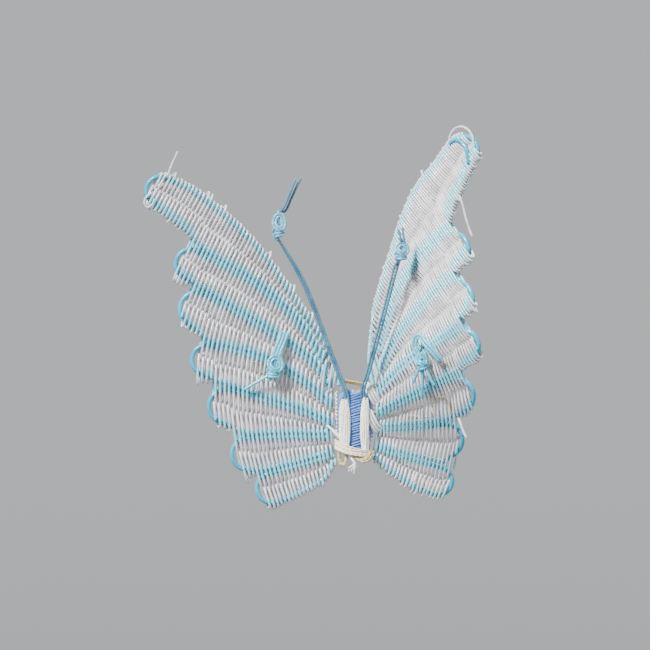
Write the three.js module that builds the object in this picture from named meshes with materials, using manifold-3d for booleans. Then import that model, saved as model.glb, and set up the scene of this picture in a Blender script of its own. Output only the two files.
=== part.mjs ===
// Fairy wings: a pair of woven butterfly wings on a thread-wound body, with two antennae,
// worn as an ornament on a safety pin. Millimetres, +Z up, +X to the viewer's right, -Y to the front.
// The origin is the middle of the pin's fixed arm.
import * as THREE from "three";
import { mergeVertices } from "three/addons/utils/BufferGeometryUtils.js";
import Module from "manifold-3d";

const wasm = await Module();
wasm.setup();

// ---- Driving dimensions ----
const CORD_RADIUS = 0.45; // glossy cord that edges and ribs the wings
const LINE_RADIUS = 0.22; // nylon line of the weave and the antennae
const THREAD_RADIUS = 0.15; // sewing thread
const TIE_RADIUS = 0.36; // doubled line of the ties
const WIRE_RADIUS = 0.35; // safety pin wire
const RIB_HALF_GAP = 0.55; // half the spacing of two cords that lie side by side in a rib
const WEAVE_GAP = 0.2; // between the weave and the cords
const WEAVE_THICKNESS = 0.5;
const RIB_STEPS = 6; // sections along each rib
const ARC_STEP = Math.PI / 4; // turn between sections round a petal's end
const CORD_SIDES = 6;
const LINE_SIDES = 8;
const ROUND_SEGMENTS = 28; // round the body, its wrap and its binding
const EGG_SEGMENTS = 14; // round a knot
const EGG_BANDS = 9; // from pole to pole of a knot

// Each wing lists its ribs from the lowest to the highest, as [outward, up] points from the root,
// and its petals' round ends as [outward, up, radius], with any points of the neck before the end.
// sweep gives how far forward the wing stands for each millimetre outward: base + turn x bearing.
const WINGS = [
  {
    name: "left",
    side: -1,
    hinge: 3.9,
    sweep: { base: 0.06, turn: 0, most: 0.06 },
    ribs: [
      [[4.3, -15.9], [4.9, -17.6], [6.4, -19.3], [10.5, -21.7]],
      [[4.9, -14.2], [10.8, -15.9]],
      [[4.9, -10.3], [13.0, -10.2]],
      [[4.9, -7.7], [9.6, -5.6], [18.0, -2.9]],
      [[4.9, -3.9], [9.6, 0.3], [19.0, 5.5]],
      [[4.9, 0.2], [9.0, 5.2], [17.2, 10.9]],
      [[6.3, 5.0], [10.6, 12.0], [19.2, 19.9]],
      [
        [3.1, -0.2], [3.5, 2.8], [6.0, 8.2], [9.0, 12.8],
        [13.2, 19.0], [19.2, 27.0], [25.4, 33.2], [32.4, 38.6],
      ],
    ],
    ends: [
      { at: [16.4, -21.0], radius: 3.0, neck: [] },
      { at: [21.2, -14.2], radius: 3.2, neck: [] },
      { at: [25.6, -4.6], radius: 3.4, neck: [] },
      { at: [29.4, 4.6], radius: 3.0, neck: [] },
      { at: [31.4, 14.8], radius: 3.4, neck: [] },
      { at: [32.6, 23.8], radius: 3.0, neck: [] },
      { at: [38.6, 38.4], radius: 2.9, neck: [[33.0, 30.4]] },
    ],
  },
  {
    name: "right",
    side: 1,
    hinge: 3.9,
    sweep: { base: 0.55, turn: 0.54, most: 1.0 },
    ribs: [
      [[4.5, -14.9], [7.8, -17.8], [11.4, -20.2]],
      [[5.0, -12.9], [10.0, -14.3]],
      [[5.0, -8.9], [12.0, -8.4]],
      [[5.0, -5.9], [11.0, -2.7]],
      [[5.0, -1.4], [10.8, 4.4], [15.6, 7.8]],
      [[5.0, 1.6], [8.4, 8.6], [12.8, 14.4]],
      [[5.0, 6.4], [8.2, 16.6], [12.0, 23.6]],
      [
        [3.8, -0.2], [3.1, 3.6], [3.4, 8.8], [4.7, 15.8],
        [7.2, 24.0], [9.8, 32.0], [12.6, 38.4], [16.6, 43.6],
      ],
    ],
    ends: [
      { at: [16.8, -19.6], radius: 2.8, neck: [] },
      { at: [18.4, -11.4], radius: 3.2, neck: [] },
      { at: [20.2, -2.6], radius: 3.6, neck: [] },
      { at: [21.6, 7.4], radius: 3.1, neck: [] },
      { at: [20.2, 17.0], radius: 3.2, neck: [] },
      { at: [19.6, 26.8], radius: 3.0, neck: [] },
      { at: [21.8, 46.4], radius: 2.6, neck: [[18.6, 32.2], [20.1, 36.6]] },
    ],
  },
];
const WING_CENTRE_HEIGHT = -6; // height that the sweep's bearing is taken from
const NARROWEST_WEAVE = 1.2; // a petal is woven from where it is this wide

const BODY = {
  x: 0.1,
  y: -0.2,
  halfWidth: 2.95,
  flatness: 0.54, // depth over width
  top: -1.0,
  bottom: -13.4,
  wall: 0.35, // thickness of the thread wrap
  gap: 0.1, // between the wrap and the core
};
const CORE = { above: 0.2, below: 0.5, shoulder: 0.75, shoulderDrop: 0.5, foot: 0.7, footRise: 0.7 };
const POSTS = [
  { name: "left_fibre_post", x: -1.95, y: -2.32, halfWidth: 1.12, halfDepth: 0.42, top: -3.9, bottom: -11.5 },
  { name: "right_fibre_post", x: 2.2, y: -2.2, halfWidth: 0.82, halfDepth: 0.36, top: -3.9, bottom: -12.1 },
];
const BINDING = {
  x: 0.1,
  y: -0.65,
  z: -13.1,
  halfWidth: 3.65,
  flatness: 0.71,
  halfHeight: 1.15,
  wall: 0.3,
  tilt: 8, // degrees, lower to the right
};
const LACING = { reach: 3.42, waver: 0.09, depth: 0.25, top: -1.8, step: 0.56, passes: 16 };

const PIN = {
  y: 2.6,
  tilt: 10, // degrees, lower to the right
  coilAt: 18.2,
  coilRadius: 2.1,
  coilPitch: 0.8,
  coilTurns: 1.5,
  armEnd: -21.5,
  needleTip: -21.2,
  needleDrop: 6.8, // below the fixed arm, at the cap
  needleGap: 0.3,
  needleSag: 0.35, // bow of the needle below a straight line
  needleSetBack: 0.15, // the needle's tip lies this far behind the fixed arm
  coilSteps: 12, // sections in a turn of the coil
};
const CAP = {
  left: -22.2,
  right: -17.6,
  low: -8.1,
  high: 0.85,
  front: 1.75,
  back: 3.85,
  wall: 0.4,
  backWallLow: -3.0,
};

const COLOURS = {
  cord: [0x5ac8d7, 0.3, 0],
  line: [0xcdc8cd, 0.35, 0],
  antenna: [0x5582a5, 0.3, 0],
  knot: [0x6eb4cd, 0.35, 0],
  thread: [0x5f87cd, 0.85, 0],
  fibre: [0xf0ebd7, 0.9, 0],
  binding: [0xe1d7be, 0.85, 0],
  brass: [0xf0dc82, 0.25, 1],
};

// ---- Building blocks ----
const object = new THREE.Group();

function add(name, geometry, colour) {
  const [color, roughness, metalness] = COLOURS[colour];
  const mesh = new THREE.Mesh(geometry, new THREE.MeshStandardMaterial({ color, roughness, metalness }));
  mesh.name = name;
  object.add(mesh);
  return mesh;
}

const point = (x, y, z) => new THREE.Vector3(x, y, z);

// A smooth curve through its points that puts the same number of sections between each two of them,
// so a tight turn is as round as its points make it.
class Route extends THREE.CatmullRomCurve3 {
  constructor(points) {
    super(points, false, "centripetal");
  }
  getPointAt(u, target) {
    return this.getPoint(u, target);
  }
  getTangentAt(u, target) {
    return this.getTangent(u, target);
  }
}

function tube(points, radius, sides, stepsBetween = 1) {
  const corner = (i) => new THREE.Vector2(
    radius * Math.cos((2 * Math.PI * i) / sides),
    radius * Math.sin((2 * Math.PI * i) / sides),
  );
  const section = new THREE.Shape(Array.from({ length: sides }, (_, i) => corner(i)));
  const steps = (points.length - 1) * stepsBetween;
  return new THREE.ExtrudeGeometry(section, { steps, extrudePath: new Route(points) });
}

// A closed ring about Z with a rectangular wall whose corners are cut, flattened along Y.
function sleeve(halfWidth, flatness, wall, low, high) {
  const cut = Math.min(wall, high - low) * 0.25;
  const inner = halfWidth - wall;
  const profile = [
    [inner, low + cut], [inner + cut, low], [halfWidth - cut, low], [halfWidth, low + cut],
    [halfWidth, high - cut], [halfWidth - cut, high], [inner + cut, high], [inner, high - cut],
    [inner, low + cut],
  ].map(([r, z]) => new THREE.Vector2(r, z));
  return new THREE.LatheGeometry(profile, ROUND_SEGMENTS).rotateX(Math.PI / 2).scale(1, flatness, 1);
}

function egg(halfX, halfY, halfZ) {
  const ball = new THREE.SphereGeometry(1, EGG_SEGMENTS, EGG_BANDS);
  return ball.rotateX(Math.PI / 2).scale(halfX, halfY, halfZ);
}

function solid(geometry) {
  const corners = (geometry.index ? geometry.toNonIndexed() : geometry).getAttribute("position");
  const merged = mergeVertices(new THREE.BufferGeometry().setAttribute("position", corners));
  return new wasm.Manifold(new wasm.Mesh({
    numProp: 3,
    vertProperties: merged.attributes.position.array,
    triVerts: new Uint32Array(merged.index.array),
  }));
}

function geometryOf(manifold) {
  const { vertProperties, triVerts } = manifold.getMesh();
  const geometry = new THREE.BufferGeometry();
  geometry.setAttribute("position", new THREE.BufferAttribute(new Float32Array(vertProperties), 3));
  geometry.setIndex(new THREE.BufferAttribute(new Uint32Array(triVerts), 1));
  return geometry;
}

function block(x0, x1, y0, y1, z0, z1) {
  const box = new THREE.BoxGeometry(x1 - x0, y1 - y0, z1 - z0);
  return box.translate((x0 + x1) / 2, (y0 + y1) / 2, (z0 + z1) / 2);
}

// ---- Wings: everything is laid out flat, [outward, up], then swept forward ----
const flat = (pair) => new THREE.Vector2(...pair);
const unit = (angle) => new THREE.Vector2(Math.cos(angle), Math.sin(angle));

// Where a line from a point touches a circle; turn is 1 for its upper side and -1 for its lower side.
function tangentPoint(from, centre, radius, turn) {
  const across = centre.clone().sub(from);
  const distance = across.length();
  const angle = across.angle() + turn * Math.asin(radius / distance);
  return from.clone().addScaledVector(unit(angle), Math.sqrt(distance * distance - radius * radius));
}

// Each rib runs through its own points and then touches the end of the petal below it.
// The lowest rib touches the lowest petal's end from below, and the highest holds a single cord.
function ribLine(wing, index) {
  const points = wing.ribs[index].map(flat);
  const lowest = index === 0;
  const end = wing.ends[lowest ? 0 : index - 1];
  const single = lowest || index === wing.ribs.length - 1;
  const reach = end.radius + (single ? 0 : RIB_HALF_GAP);
  points.push(tangentPoint(points.at(-1), flat(end.at), reach, lowest ? -1 : 1));
  const curve = new THREE.SplineCurve(points);
  return {
    halfGap: single ? 0 : RIB_HALF_GAP,
    points: curve.getSpacedPoints(single ? RIB_STEPS + 2 : RIB_STEPS),
  };
}

// The line moved sideways, upwards for a positive distance.
function offset(points, distance) {
  return points.map((here, i) => {
    const before = points[Math.max(i - 1, 0)];
    const after = points[Math.min(i + 1, points.length - 1)];
    const along = after.clone().sub(before).normalize();
    return new THREE.Vector2(here.x - along.y * distance, here.y + along.x * distance);
  });
}

const ON_CIRCLE = 1.02; // a point within this many radii already lies on the circle

// Points round a petal's end, from where its lower side arrives to where its upper side leaves.
function roundEnd(end, lowerPoints, upperPoints, inset) {
  const centre = flat(end.at);
  const radius = end.radius;
  const from = lowerPoints.at(-1).clone();
  const onCircle = from.distanceTo(centre) < radius * ON_CIRCLE;
  const arrives = onCircle ? from : tangentPoint(from, centre, radius, -1);
  const start = arrives.clone().sub(centre).angle();
  let stop = upperPoints.at(-1).clone().sub(centre).angle();
  while (stop < start) stop += 2 * Math.PI;
  const count = Math.max(3, Math.round((stop - start) / ARC_STEP));
  return Array.from({ length: count }, (_, i) => {
    const angle = start + ((stop - start) * i) / count;
    return centre.clone().addScaledVector(unit(angle), radius - inset);
  });
}

// The tight turn that joins two petals' cords at the root.
function rootTurn(upper, lower) {
  const centre = upper.clone().add(lower).multiplyScalar(0.5);
  const arm = upper.clone().sub(centre);
  const turned = (part) => arm.clone().rotateAround(new THREE.Vector2(), Math.PI * part).add(centre);
  return [0.25, 0.5, 0.75].map(turned);
}

// The two sides of one petal: inset 0 gives the cord's own line.
function petalSides(wing, ribs, index, inset) {
  const below = ribs[index];
  const above = ribs[index + 1];
  const lowerCord = offset(below.points, below.halfGap);
  const upperCord = offset(above.points, -above.halfGap);
  const neck = wing.ends[index].neck.map(flat);
  return {
    lower: offset([...lowerCord, ...neck], inset),
    upper: offset(upperCord, -inset),
    end: roundEnd(wing.ends[index], [...lowerCord, ...neck], upperCord, inset),
  };
}

function swept(wing, { x, y: up }) {
  const outward = x - wing.hinge;
  const bearing = Math.atan2(up - WING_CENTRE_HEIGHT, Math.max(outward, 0.01));
  const { base, turn, most } = wing.sweep;
  const slope = THREE.MathUtils.clamp(base + turn * bearing, 0, most);
  return -slope * Math.max(outward, 0);
}

const inSpace = (wing, p) => point(wing.side * p.x, swept(wing, p), p.y);

// One cord runs through the whole wing: out along each petal's lower side, round its end and back.
function frameCord(wing, ribs) {
  const path = [];
  for (let i = 0; i < wing.ends.length; i += 1) {
    const { lower, upper, end } = petalSides(wing, ribs, i, 0);
    path.push(...lower, ...end, ...upper.toReversed());
    if (i < wing.ends.length - 1) {
      const next = offset(ribs[i + 1].points, ribs[i + 1].halfGap);
      path.push(...rootTurn(upper[0], next[0]));
    }
  }
  return tube(path.map((p) => inSpace(wing, p)), CORD_RADIUS, CORD_SIDES);
}

// The two sides of a petal without the stretch at the root where it is too narrow to weave.
function wovenStretch(lower, upper) {
  for (let k = 0; k < lower.length - 1; k += 1) {
    const along = lower[k + 1].clone().sub(lower[k]).normalize();
    const j = upper.findIndex((p) => p.clone().sub(lower[k]).dot(along) >= 0);
    const width = along.cross(upper[j].clone().sub(lower[k]));
    if (width > NARROWEST_WEAVE) return [lower.slice(k), upper.slice(j)];
  }
  throw new Error("a petal is too narrow to weave");
}

// The woven panel inside one petal: a thin sheet with the petal's outline, swept with the wing.
function weavePanel(wing, ribs, index) {
  const sides = petalSides(wing, ribs, index, CORD_RADIUS + WEAVE_GAP);
  const [lower, upper] = wovenStretch(sides.lower, sides.upper);
  const outline = [...lower, ...sides.end, ...upper.toReversed()];
  const options = { depth: WEAVE_THICKNESS, bevelEnabled: false };
  const sheet = new THREE.ExtrudeGeometry(new THREE.Shape(outline), options);
  sheet.translate(0, 0, -WEAVE_THICKNESS / 2);
  const corners = sheet.getAttribute("position");
  for (let i = 0; i < corners.count; i += 1) {
    const here = { x: corners.getX(i), y: corners.getY(i) };
    corners.setXYZ(i, here.x, swept(wing, here) - corners.getZ(i), here.y);
  }
  return wing.side > 0 ? sheet : mirrored(sheet);
}

// Turned over left to right, with each face's corners in the other order so that it still points out.
function mirrored(geometry) {
  const corners = geometry.getAttribute("position");
  const copy = new Float32Array(corners.count * 3);
  for (let i = 0; i < corners.count; i += 1) {
    const from = i - (i % 3) + ((3 - (i % 3)) % 3);
    copy.set([-corners.getX(from), corners.getY(from), corners.getZ(from)], i * 3);
  }
  return new THREE.BufferGeometry().setAttribute("position", new THREE.BufferAttribute(copy, 3));
}

for (const wing of WINGS) {
  const ribs = wing.ribs.map((_, i) => ribLine(wing, i));
  add(`${wing.name}_frame_cord`, frameCord(wing, ribs), "cord");
  for (let i = 0; i < wing.ends.length; i += 1)
    add(`${wing.name}_weave_${i + 1}`, weavePanel(wing, ribs, i), "line");
}

// ---- Body ----
function bodyPieces() {
  const { x, y, halfWidth, flatness, top, bottom, wall, gap } = BODY;
  const wrap = sleeve(halfWidth, flatness, wall, bottom, top);
  add("thread_wrap", wrap, "thread").position.set(x, y, 0);
  const radius = halfWidth - wall - gap;
  const high = top + CORE.above;
  const low = bottom - CORE.below;
  const profile = [
    [0, low], [radius * CORE.foot, low], [radius, low + CORE.footRise],
    [radius, high - CORE.shoulderDrop], [radius * CORE.shoulder, high], [0, high],
  ];
  const core = new THREE.LatheGeometry(profile.map(flat), ROUND_SEGMENTS);
  core.rotateX(Math.PI / 2).scale(1, flatness, 1);
  add("body_core", core, "fibre").position.set(x, y, 0);
}
bodyPieces();

const POST_BANDS = 5; // from a post's side to its pole
for (const { name, x, y, halfWidth, halfDepth, top, bottom } of POSTS) {
  const length = top - bottom - 2 * halfWidth;
  const post = new THREE.CapsuleGeometry(halfWidth, length, POST_BANDS, EGG_SEGMENTS).rotateX(Math.PI / 2);
  add(name, post.scale(1, halfDepth / halfWidth, 1), "fibre").position.set(x, y, (top + bottom) / 2);
}

function bottomBinding() {
  const { x, y, z, halfWidth, flatness, halfHeight, wall, tilt } = BINDING;
  const ring = sleeve(halfWidth, flatness, wall, -halfHeight, halfHeight);
  const band = add("bottom_binding", ring, "binding");
  band.position.set(x, y, z);
  band.rotation.y = THREE.MathUtils.degToRad(tilt);
}
bottomBinding();

const LOOSE_FIBRE_RADIUS = 0.28;
const LOOSE_FIBRES = {
  left_fibre_loop: [
    [-2.9, -2.0, -14.3], [-2.8, -2.1, -15.6], [-2.2, -2.2, -16.5], [-1.5, -2.1, -16.0], [-1.3, -2.0, -14.7],
  ],
  right_fibre_loop: [[0.7, -2.2, -15.3], [1.3, -2.4, -15.8], [2.1, -2.4, -15.9], [2.9, -2.2, -15.4]],
};

// A tube through listed points, with two sections between each two of them.
function strand(name, points, radius, colour) {
  return add(name, tube(points.map((p) => point(...p)), radius, LINE_SIDES, 2), colour);
}
for (const [name, points] of Object.entries(LOOSE_FIBRES)) {
  strand(name, points, LOOSE_FIBRE_RADIUS, "binding");
}

const TUFT = { x: -0.5, y: -2.2, z: -16.1, narrow: 0.25, wide: 0.7, length: 2.2, lean: 12 };
const cone = new THREE.CylinderGeometry(TUFT.narrow, TUFT.wide, TUFT.length, EGG_SEGMENTS);
const tuft = add("fibre_tuft", cone.rotateX(Math.PI / 2), "fibre");
tuft.position.set(TUFT.x, TUFT.y, TUFT.z);
tuft.rotation.y = THREE.MathUtils.degToRad(TUFT.lean);

// ---- Cut ends of the weaving line that stand clear of the wings ----
const LINE_ENDS = {
  left_tip_line_end: [[-36.9, -2.7, 42.3], [-36.4, -2.9, 43.6], [-35.2, -3.0, 46.2]],
  right_tip_line_end: [[21.5, -18.9, 35.3], [22.2, -19.2, 32.4], [23.3, -19.4, 29.2]],
  right_side_line_end: [[21.2, -10.6, -8.1], [21.6, -10.9, -9.3], [22.3, -11.1, -10.8]],
};
for (const [name, points] of Object.entries(LINE_ENDS)) strand(name, points, LINE_RADIUS, "line");

// ---- Threads that tie the wing roots to the body, and the pin behind it ----
function rootLacing(side) {
  const { reach, waver, depth, top, step, passes } = LACING;
  return Array.from({ length: passes + 1 }, (_, i) => {
    const swing = i % 2 ? 1 : -1;
    return point(side * (reach + swing * waver), swing * depth, top - i * step);
  });
}
add("left_root_lacing", tube(rootLacing(-1), THREAD_RADIUS, CORD_SIDES), "line");
add("right_root_lacing", tube(rootLacing(1), THREAD_RADIUS, CORD_SIDES), "line");

// A lashing hooks over the fixed arm and comes down on both sides of it.
function pinLashing(x) {
  const lift = -x * Math.tan(THREE.MathUtils.degToRad(PIN.tilt));
  const hook = [
    [1.8, -2.3], [2.15, -1.3], [3.05, -0.55 + lift], [3.25, 0.1 + lift],
    [2.7, 0.68 + lift], [2.02, 0.3 + lift], [1.55, -0.3], [0.6, -0.52],
  ];
  return hook.map(([y, z]) => point(x, y, z));
}
add("left_pin_lashing", tube(pinLashing(-2.2), THREAD_RADIUS, CORD_SIDES, 2), "line");
add("right_pin_lashing", tube(pinLashing(2.5), THREAD_RADIUS, CORD_SIDES, 2), "line");

// ---- Safety pin: drawn with its fixed arm along X, then tilted ----
const pin = new THREE.Group();
pin.rotation.y = THREE.MathUtils.degToRad(PIN.tilt);
object.add(pin);

function coilPoint(turn) {
  const angle = Math.PI / 2 - 2 * Math.PI * turn;
  return point(
    PIN.coilAt + PIN.coilRadius * Math.cos(angle),
    PIN.y + PIN.coilPitch * turn,
    -PIN.coilRadius + PIN.coilRadius * Math.sin(angle),
  );
}

function fixedArm() {
  const arm = [PIN.armEnd, PIN.armEnd / 2, 0, PIN.coilAt / 2].map((x) => point(x, PIN.y, 0));
  const steps = PIN.coilSteps * PIN.coilTurns;
  const coil = Array.from({ length: steps + 1 }, (_, i) => coilPoint(i / PIN.coilSteps));
  return [...arm, ...coil];
}
pin.add(add("pin_fixed_arm", tube(fixedArm(), WIRE_RADIUS, LINE_SIDES), "brass"));

function needle() {
  const exit = coilPoint(PIN.coilTurns);
  const start = exit.x - PIN.needleGap;
  const reach = start - PIN.needleTip;
  return [0, 0.25, 0.5, 0.75, 1].map((part) => point(
    start - reach * part,
    THREE.MathUtils.lerp(exit.y, PIN.y + PIN.needleSetBack, part),
    THREE.MathUtils.lerp(exit.z, -PIN.needleDrop, part) - PIN.needleSag * Math.sin(Math.PI * part),
  ));
}
pin.add(add("pin_needle", tube(needle(), WIRE_RADIUS, LINE_SIDES, 2), "brass"));

// The cap is a folded shell: open towards the coil, and at the back below its short back wall.
function cap() {
  const { left, right, low, high, front, back, wall, backWallLow } = CAP;
  const past = 1; // a cutter runs this far past the face that it opens
  const shell = solid(block(left, right, front, back, low, high));
  const inside = solid(block(left + wall, right + past, front + wall, back - wall, low + wall, high - wall));
  const slot = solid(block(left + wall, right + past, front + wall, back + past, low + wall, backWallLow));
  return geometryOf(shell.subtract(inside).subtract(slot));
}
pin.add(add("pin_cap", cap(), "brass"));

// ---- Antennae: two lines side by side, tied in a knot, with the line's ends past it ----
const ANTENNAE = {
  left: {
    stem: [
      [-1.4, -2.05, -3.3], [-1.75, -2.3, -1.4], [-4.7, -3.8, 6.8],
      [-7.0, -5.0, 13.8], [-10.2, -6.8, 21.4], [-13.9, -8.1, 28.2],
    ],
    knot: { at: [-15.0, -8.8, 31.4], half: [1.5, 1.2, 2.7], lean: 4 },
    tails: [
      [[-14.4, -9.2, 34.1], [-13.2, -9.7, 36.8], [-11.7, -10.0, 40.6]],
      [[-13.8, -8.8, 34.1], [-12.5, -9.1, 36.8], [-10.6, -9.6, 40.6]],
    ],
  },
  right: {
    stem: [
      [1.7, -2.05, -3.3], [1.75, -2.3, -1.8], [3.2, -4.0, 3.6],
      [5.4, -6.8, 11.8], [7.2, -9.2, 18.8], [8.6, -10.8, 24.0],
    ],
    knot: { at: [9.4, -11.8, 26.3], half: [1.6, 1.3, 1.9], lean: 10 },
    tails: [
      [[9.3, -12.3, 28.4], [9.1, -12.5, 29.4], [8.8, -12.6, 30.6]],
      [[9.9, -12.2, 28.3], [9.8, -12.4, 29.4], [9.6, -12.5, 31.0]],
    ],
  },
};
const STRAND_SPACING = 0.5;
for (const [side, { stem, knot, tails }] of Object.entries(ANTENNAE)) {
  for (const line of [1, 2]) {
    const shift = (line - 1.5) * STRAND_SPACING;
    const points = stem.map(([x, y, z]) => [x + shift, y, z]);
    strand(`${side}_antenna_strand_${line}`, points, LINE_RADIUS, "antenna");
    strand(`${side}_antenna_tail_${line}`, tails[line - 1], LINE_RADIUS, "antenna");
  }
  const bead = add(`${side}_antenna_knot`, egg(...knot.half), "knot");
  bead.position.set(...knot.at);
  bead.rotation.y = THREE.MathUtils.degToRad(knot.lean);
}

// ---- Ties knotted through the middle of each wing ----
const TIES = {
  left_tie_loop: [[-14.0, -1.75, 9.4], [-14.6, -2.3, 8.4], [-15.2, -2.6, 6.9], [-15.6, -2.7, 5.9]],
  left_tie_end: [[-17.5, -3.0, 1.6], [-19.4, -3.0, 0.2], [-21.7, -3.0, -1.2]],
  right_tie_loop: [
    [12.5, -12.4, 6.3], [12.0, -12.0, 7.8], [12.2, -12.0, 9.0], [13.0, -12.4, 9.3],
    [13.9, -13.2, 8.2], [15.4, -14.6, 6.5], [16.9, -15.4, 4.8],
  ],
  right_tie_end_1: [[12.7, -12.0, 2.2], [12.2, -11.4, 1.2], [11.7, -10.8, 0.1]],
  right_tie_end_2: [[13.6, -12.2, 2.1], [13.6, -11.2, -0.4], [13.4, -10.2, -2.8]],
  right_tie_end_3: [[14.4, -12.4, 2.5], [15.1, -12.6, 1.1], [15.9, -12.6, -0.4]],
};
for (const [name, points] of Object.entries(TIES)) strand(name, points, TIE_RADIUS, "knot");

const TIE_KNOTS = {
  left_tie_knot: { at: [-15.9, -2.9, 3.4], half: [1.8, 1.2, 2.2] },
  right_tie_knot: { at: [13.4, -12.4, 4.3], half: [1.2, 1.1, 1.8] },
};
for (const [name, { at, half }] of Object.entries(TIE_KNOTS)) {
  add(name, egg(...half), "knot").position.set(...at);
}

export default object;
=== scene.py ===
"""Fairy wings: a pair of woven butterfly wings on a thread-wound body with antennae, on a safety pin.

Lengths are written in millimetres, as on the maker's bench, and become metres as each mesh is built.
+X is to the viewer's right, +Z up and -Y to the front. The origin is the middle of the pin's fixed arm.
"""

import logging
import math
from collections.abc import Iterable, Sequence
from dataclasses import dataclass, field
from enum import Enum

import bpy
import numpy as np
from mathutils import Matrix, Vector


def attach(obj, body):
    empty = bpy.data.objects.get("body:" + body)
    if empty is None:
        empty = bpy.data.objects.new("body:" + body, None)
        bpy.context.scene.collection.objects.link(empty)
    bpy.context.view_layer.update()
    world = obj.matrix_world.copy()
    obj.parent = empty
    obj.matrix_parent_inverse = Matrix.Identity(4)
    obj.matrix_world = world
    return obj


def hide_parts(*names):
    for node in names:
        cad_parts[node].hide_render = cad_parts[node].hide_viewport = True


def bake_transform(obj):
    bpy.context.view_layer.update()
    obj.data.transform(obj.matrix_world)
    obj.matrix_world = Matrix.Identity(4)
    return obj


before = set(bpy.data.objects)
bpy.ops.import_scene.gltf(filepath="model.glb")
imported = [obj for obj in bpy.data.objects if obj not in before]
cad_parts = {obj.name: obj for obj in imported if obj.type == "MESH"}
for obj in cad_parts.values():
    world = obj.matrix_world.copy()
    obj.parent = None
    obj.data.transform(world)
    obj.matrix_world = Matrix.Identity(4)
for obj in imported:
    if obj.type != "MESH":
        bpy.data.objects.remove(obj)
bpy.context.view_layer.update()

log = logging.getLogger("fairy_wings")

MM = 0.001
FRONT = np.array([0.0, -1.0, 0.0])

CORD_RADIUS = 0.45  # glossy cord that edges and ribs the wings
WEFT_RADIUS = 0.235  # nylon line that the wings are woven from
ANTENNA_RADIUS = 0.25  # nylon line of the antennae
KNOT_RADIUS = 0.3  # the same line, pressed flatter, in their knots
TIE_RADIUS = 0.3  # nylon line of the ties
THREAD_RADIUS = 0.15  # sewing thread
FIBRE_RADIUS = 0.13  # soft fibre of the posts and the binding
WIRE_RADIUS = 0.35  # safety pin wire
RIB_HALF_GAP = 0.55  # half the spacing of two cords that lie side by side in a rib
HINGE = 3.9  # each wing's hinge line, outward from the middle
ROOT_HEIGHT = -6.0  # the height of the wings' root, which the ribs fan out from
END_TILTS = np.radians([70.0, 45.0, 20.0])  # the rings of a tube's round end, from its pole
FLAT_BULGE = 0.15  # how far a square-cut end bulges, as a share of its radius

Colour = tuple[float, float, float]
Place = tuple[float, float, float]  # x, y and z, in millimetres unless a comment says metres
Flat = tuple[float, float]  # outward and up, on a wing that is laid flat


# ---- Curves and tubes -------------------------------------------------------------------------


def points_of(rows: Iterable[Sequence[float]]) -> np.ndarray:
    """Gives a list of points as an array of numbers."""
    return np.array(list(rows), float)


def unit(vectors: np.ndarray) -> np.ndarray:
    """Gives each vector a length of one."""
    return vectors / np.maximum(np.linalg.norm(vectors, axis=-1, keepdims=True), 1e-9)


def smooth(points: np.ndarray, per_span: int = 6) -> np.ndarray:
    """Carries a smooth curve through points.

    A centripetal Catmull-Rom curve: each span is the cubic that starts and ends with the slopes that its
    neighbours give, with knots spaced by the square root of the distance between the points.

    Args:
        points: the points to pass through, one row each.
        per_span: how many steps there are between each two of them.

    Returns:
        The curve's points, one row each, the first and last points among them.
    """
    ends = np.vstack([2 * points[0] - points[1], points, 2 * points[-1] - points[-2]])
    gaps = np.sqrt(np.maximum(np.linalg.norm(np.diff(ends, axis=0), axis=1), 1e-9))[:, None]
    before, here, after = gaps[:-2], gaps[1:-1], gaps[2:]
    p0, p1, p2, p3 = ends[:-3], ends[1:-2], ends[2:-1], ends[3:]
    leave = ((p1 - p0) / before - (p2 - p0) / (before + here) + (p2 - p1) / here) * here
    arrive = ((p2 - p1) / here - (p3 - p1) / (here + after) + (p3 - p2) / after) * here
    t = np.arange(per_span)[:, None, None] / per_span
    near, far = 2 * t**3 - 3 * t**2 + 1, 3 * t**2 - 2 * t**3
    curve = near * p1 + (t**3 - 2 * t**2 + t) * leave + far * p2 + (t**3 - t**2) * arrive
    return np.vstack([curve.swapaxes(0, 1).reshape(-1, points.shape[1]), points[-1]])


def distances(points: np.ndarray) -> np.ndarray:
    """Gives each point's distance along the line from its start."""
    return np.concatenate([[0.0], np.cumsum(np.linalg.norm(np.diff(points, axis=0), axis=1))])


def evenly(points: np.ndarray, count: int) -> np.ndarray:
    """Puts count points along a line with equal distances between them."""
    along = distances(points)
    wanted = np.linspace(0, along[-1], count)
    return np.stack([np.interp(wanted, along, axis) for axis in points.T], axis=1)


def sections(path: np.ndarray) -> tuple[np.ndarray, np.ndarray, np.ndarray]:
    """Finds the direction of a path and two directions square to it at each point.

    The second direction is the one that the path's directions vary least in, made square to each of them,
    so that it turns smoothly and never lies along the path.

    Args:
        path: the path's points, one row each.

    Returns:
        The direction along, the one across and the one square to both, one row for each point.
    """
    along = unit(np.gradient(path, axis=0))
    steady = np.linalg.eigh(along.T @ along)[1][:, 0]
    across = unit(steady - (along @ steady)[:, None] * along)
    return along, across, np.cross(along, across)


def grid_faces(rows: int, columns: int, spans: int) -> tuple[np.ndarray, np.ndarray, np.ndarray]:
    """Gives the four-cornered faces of a grid of corners.

    Args:
        rows: how many rows of corners there are.
        columns: how many corners a row has.
        spans: how many faces a row has: one for each corner where the grid closes round, or one less.

    Returns:
        The faces, and the row and the step along the row of each face corner, (faces, 4) each.
    """
    i, j = np.meshgrid(np.arange(rows - 1), np.arange(spans), indexing="ij")
    row = np.stack([i, i, i + 1, i + 1], axis=-1).reshape(-1, 4)
    step = np.stack([j, j + 1, j + 1, j], axis=-1).reshape(-1, 4)
    return row * columns + step % columns, row, step


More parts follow.
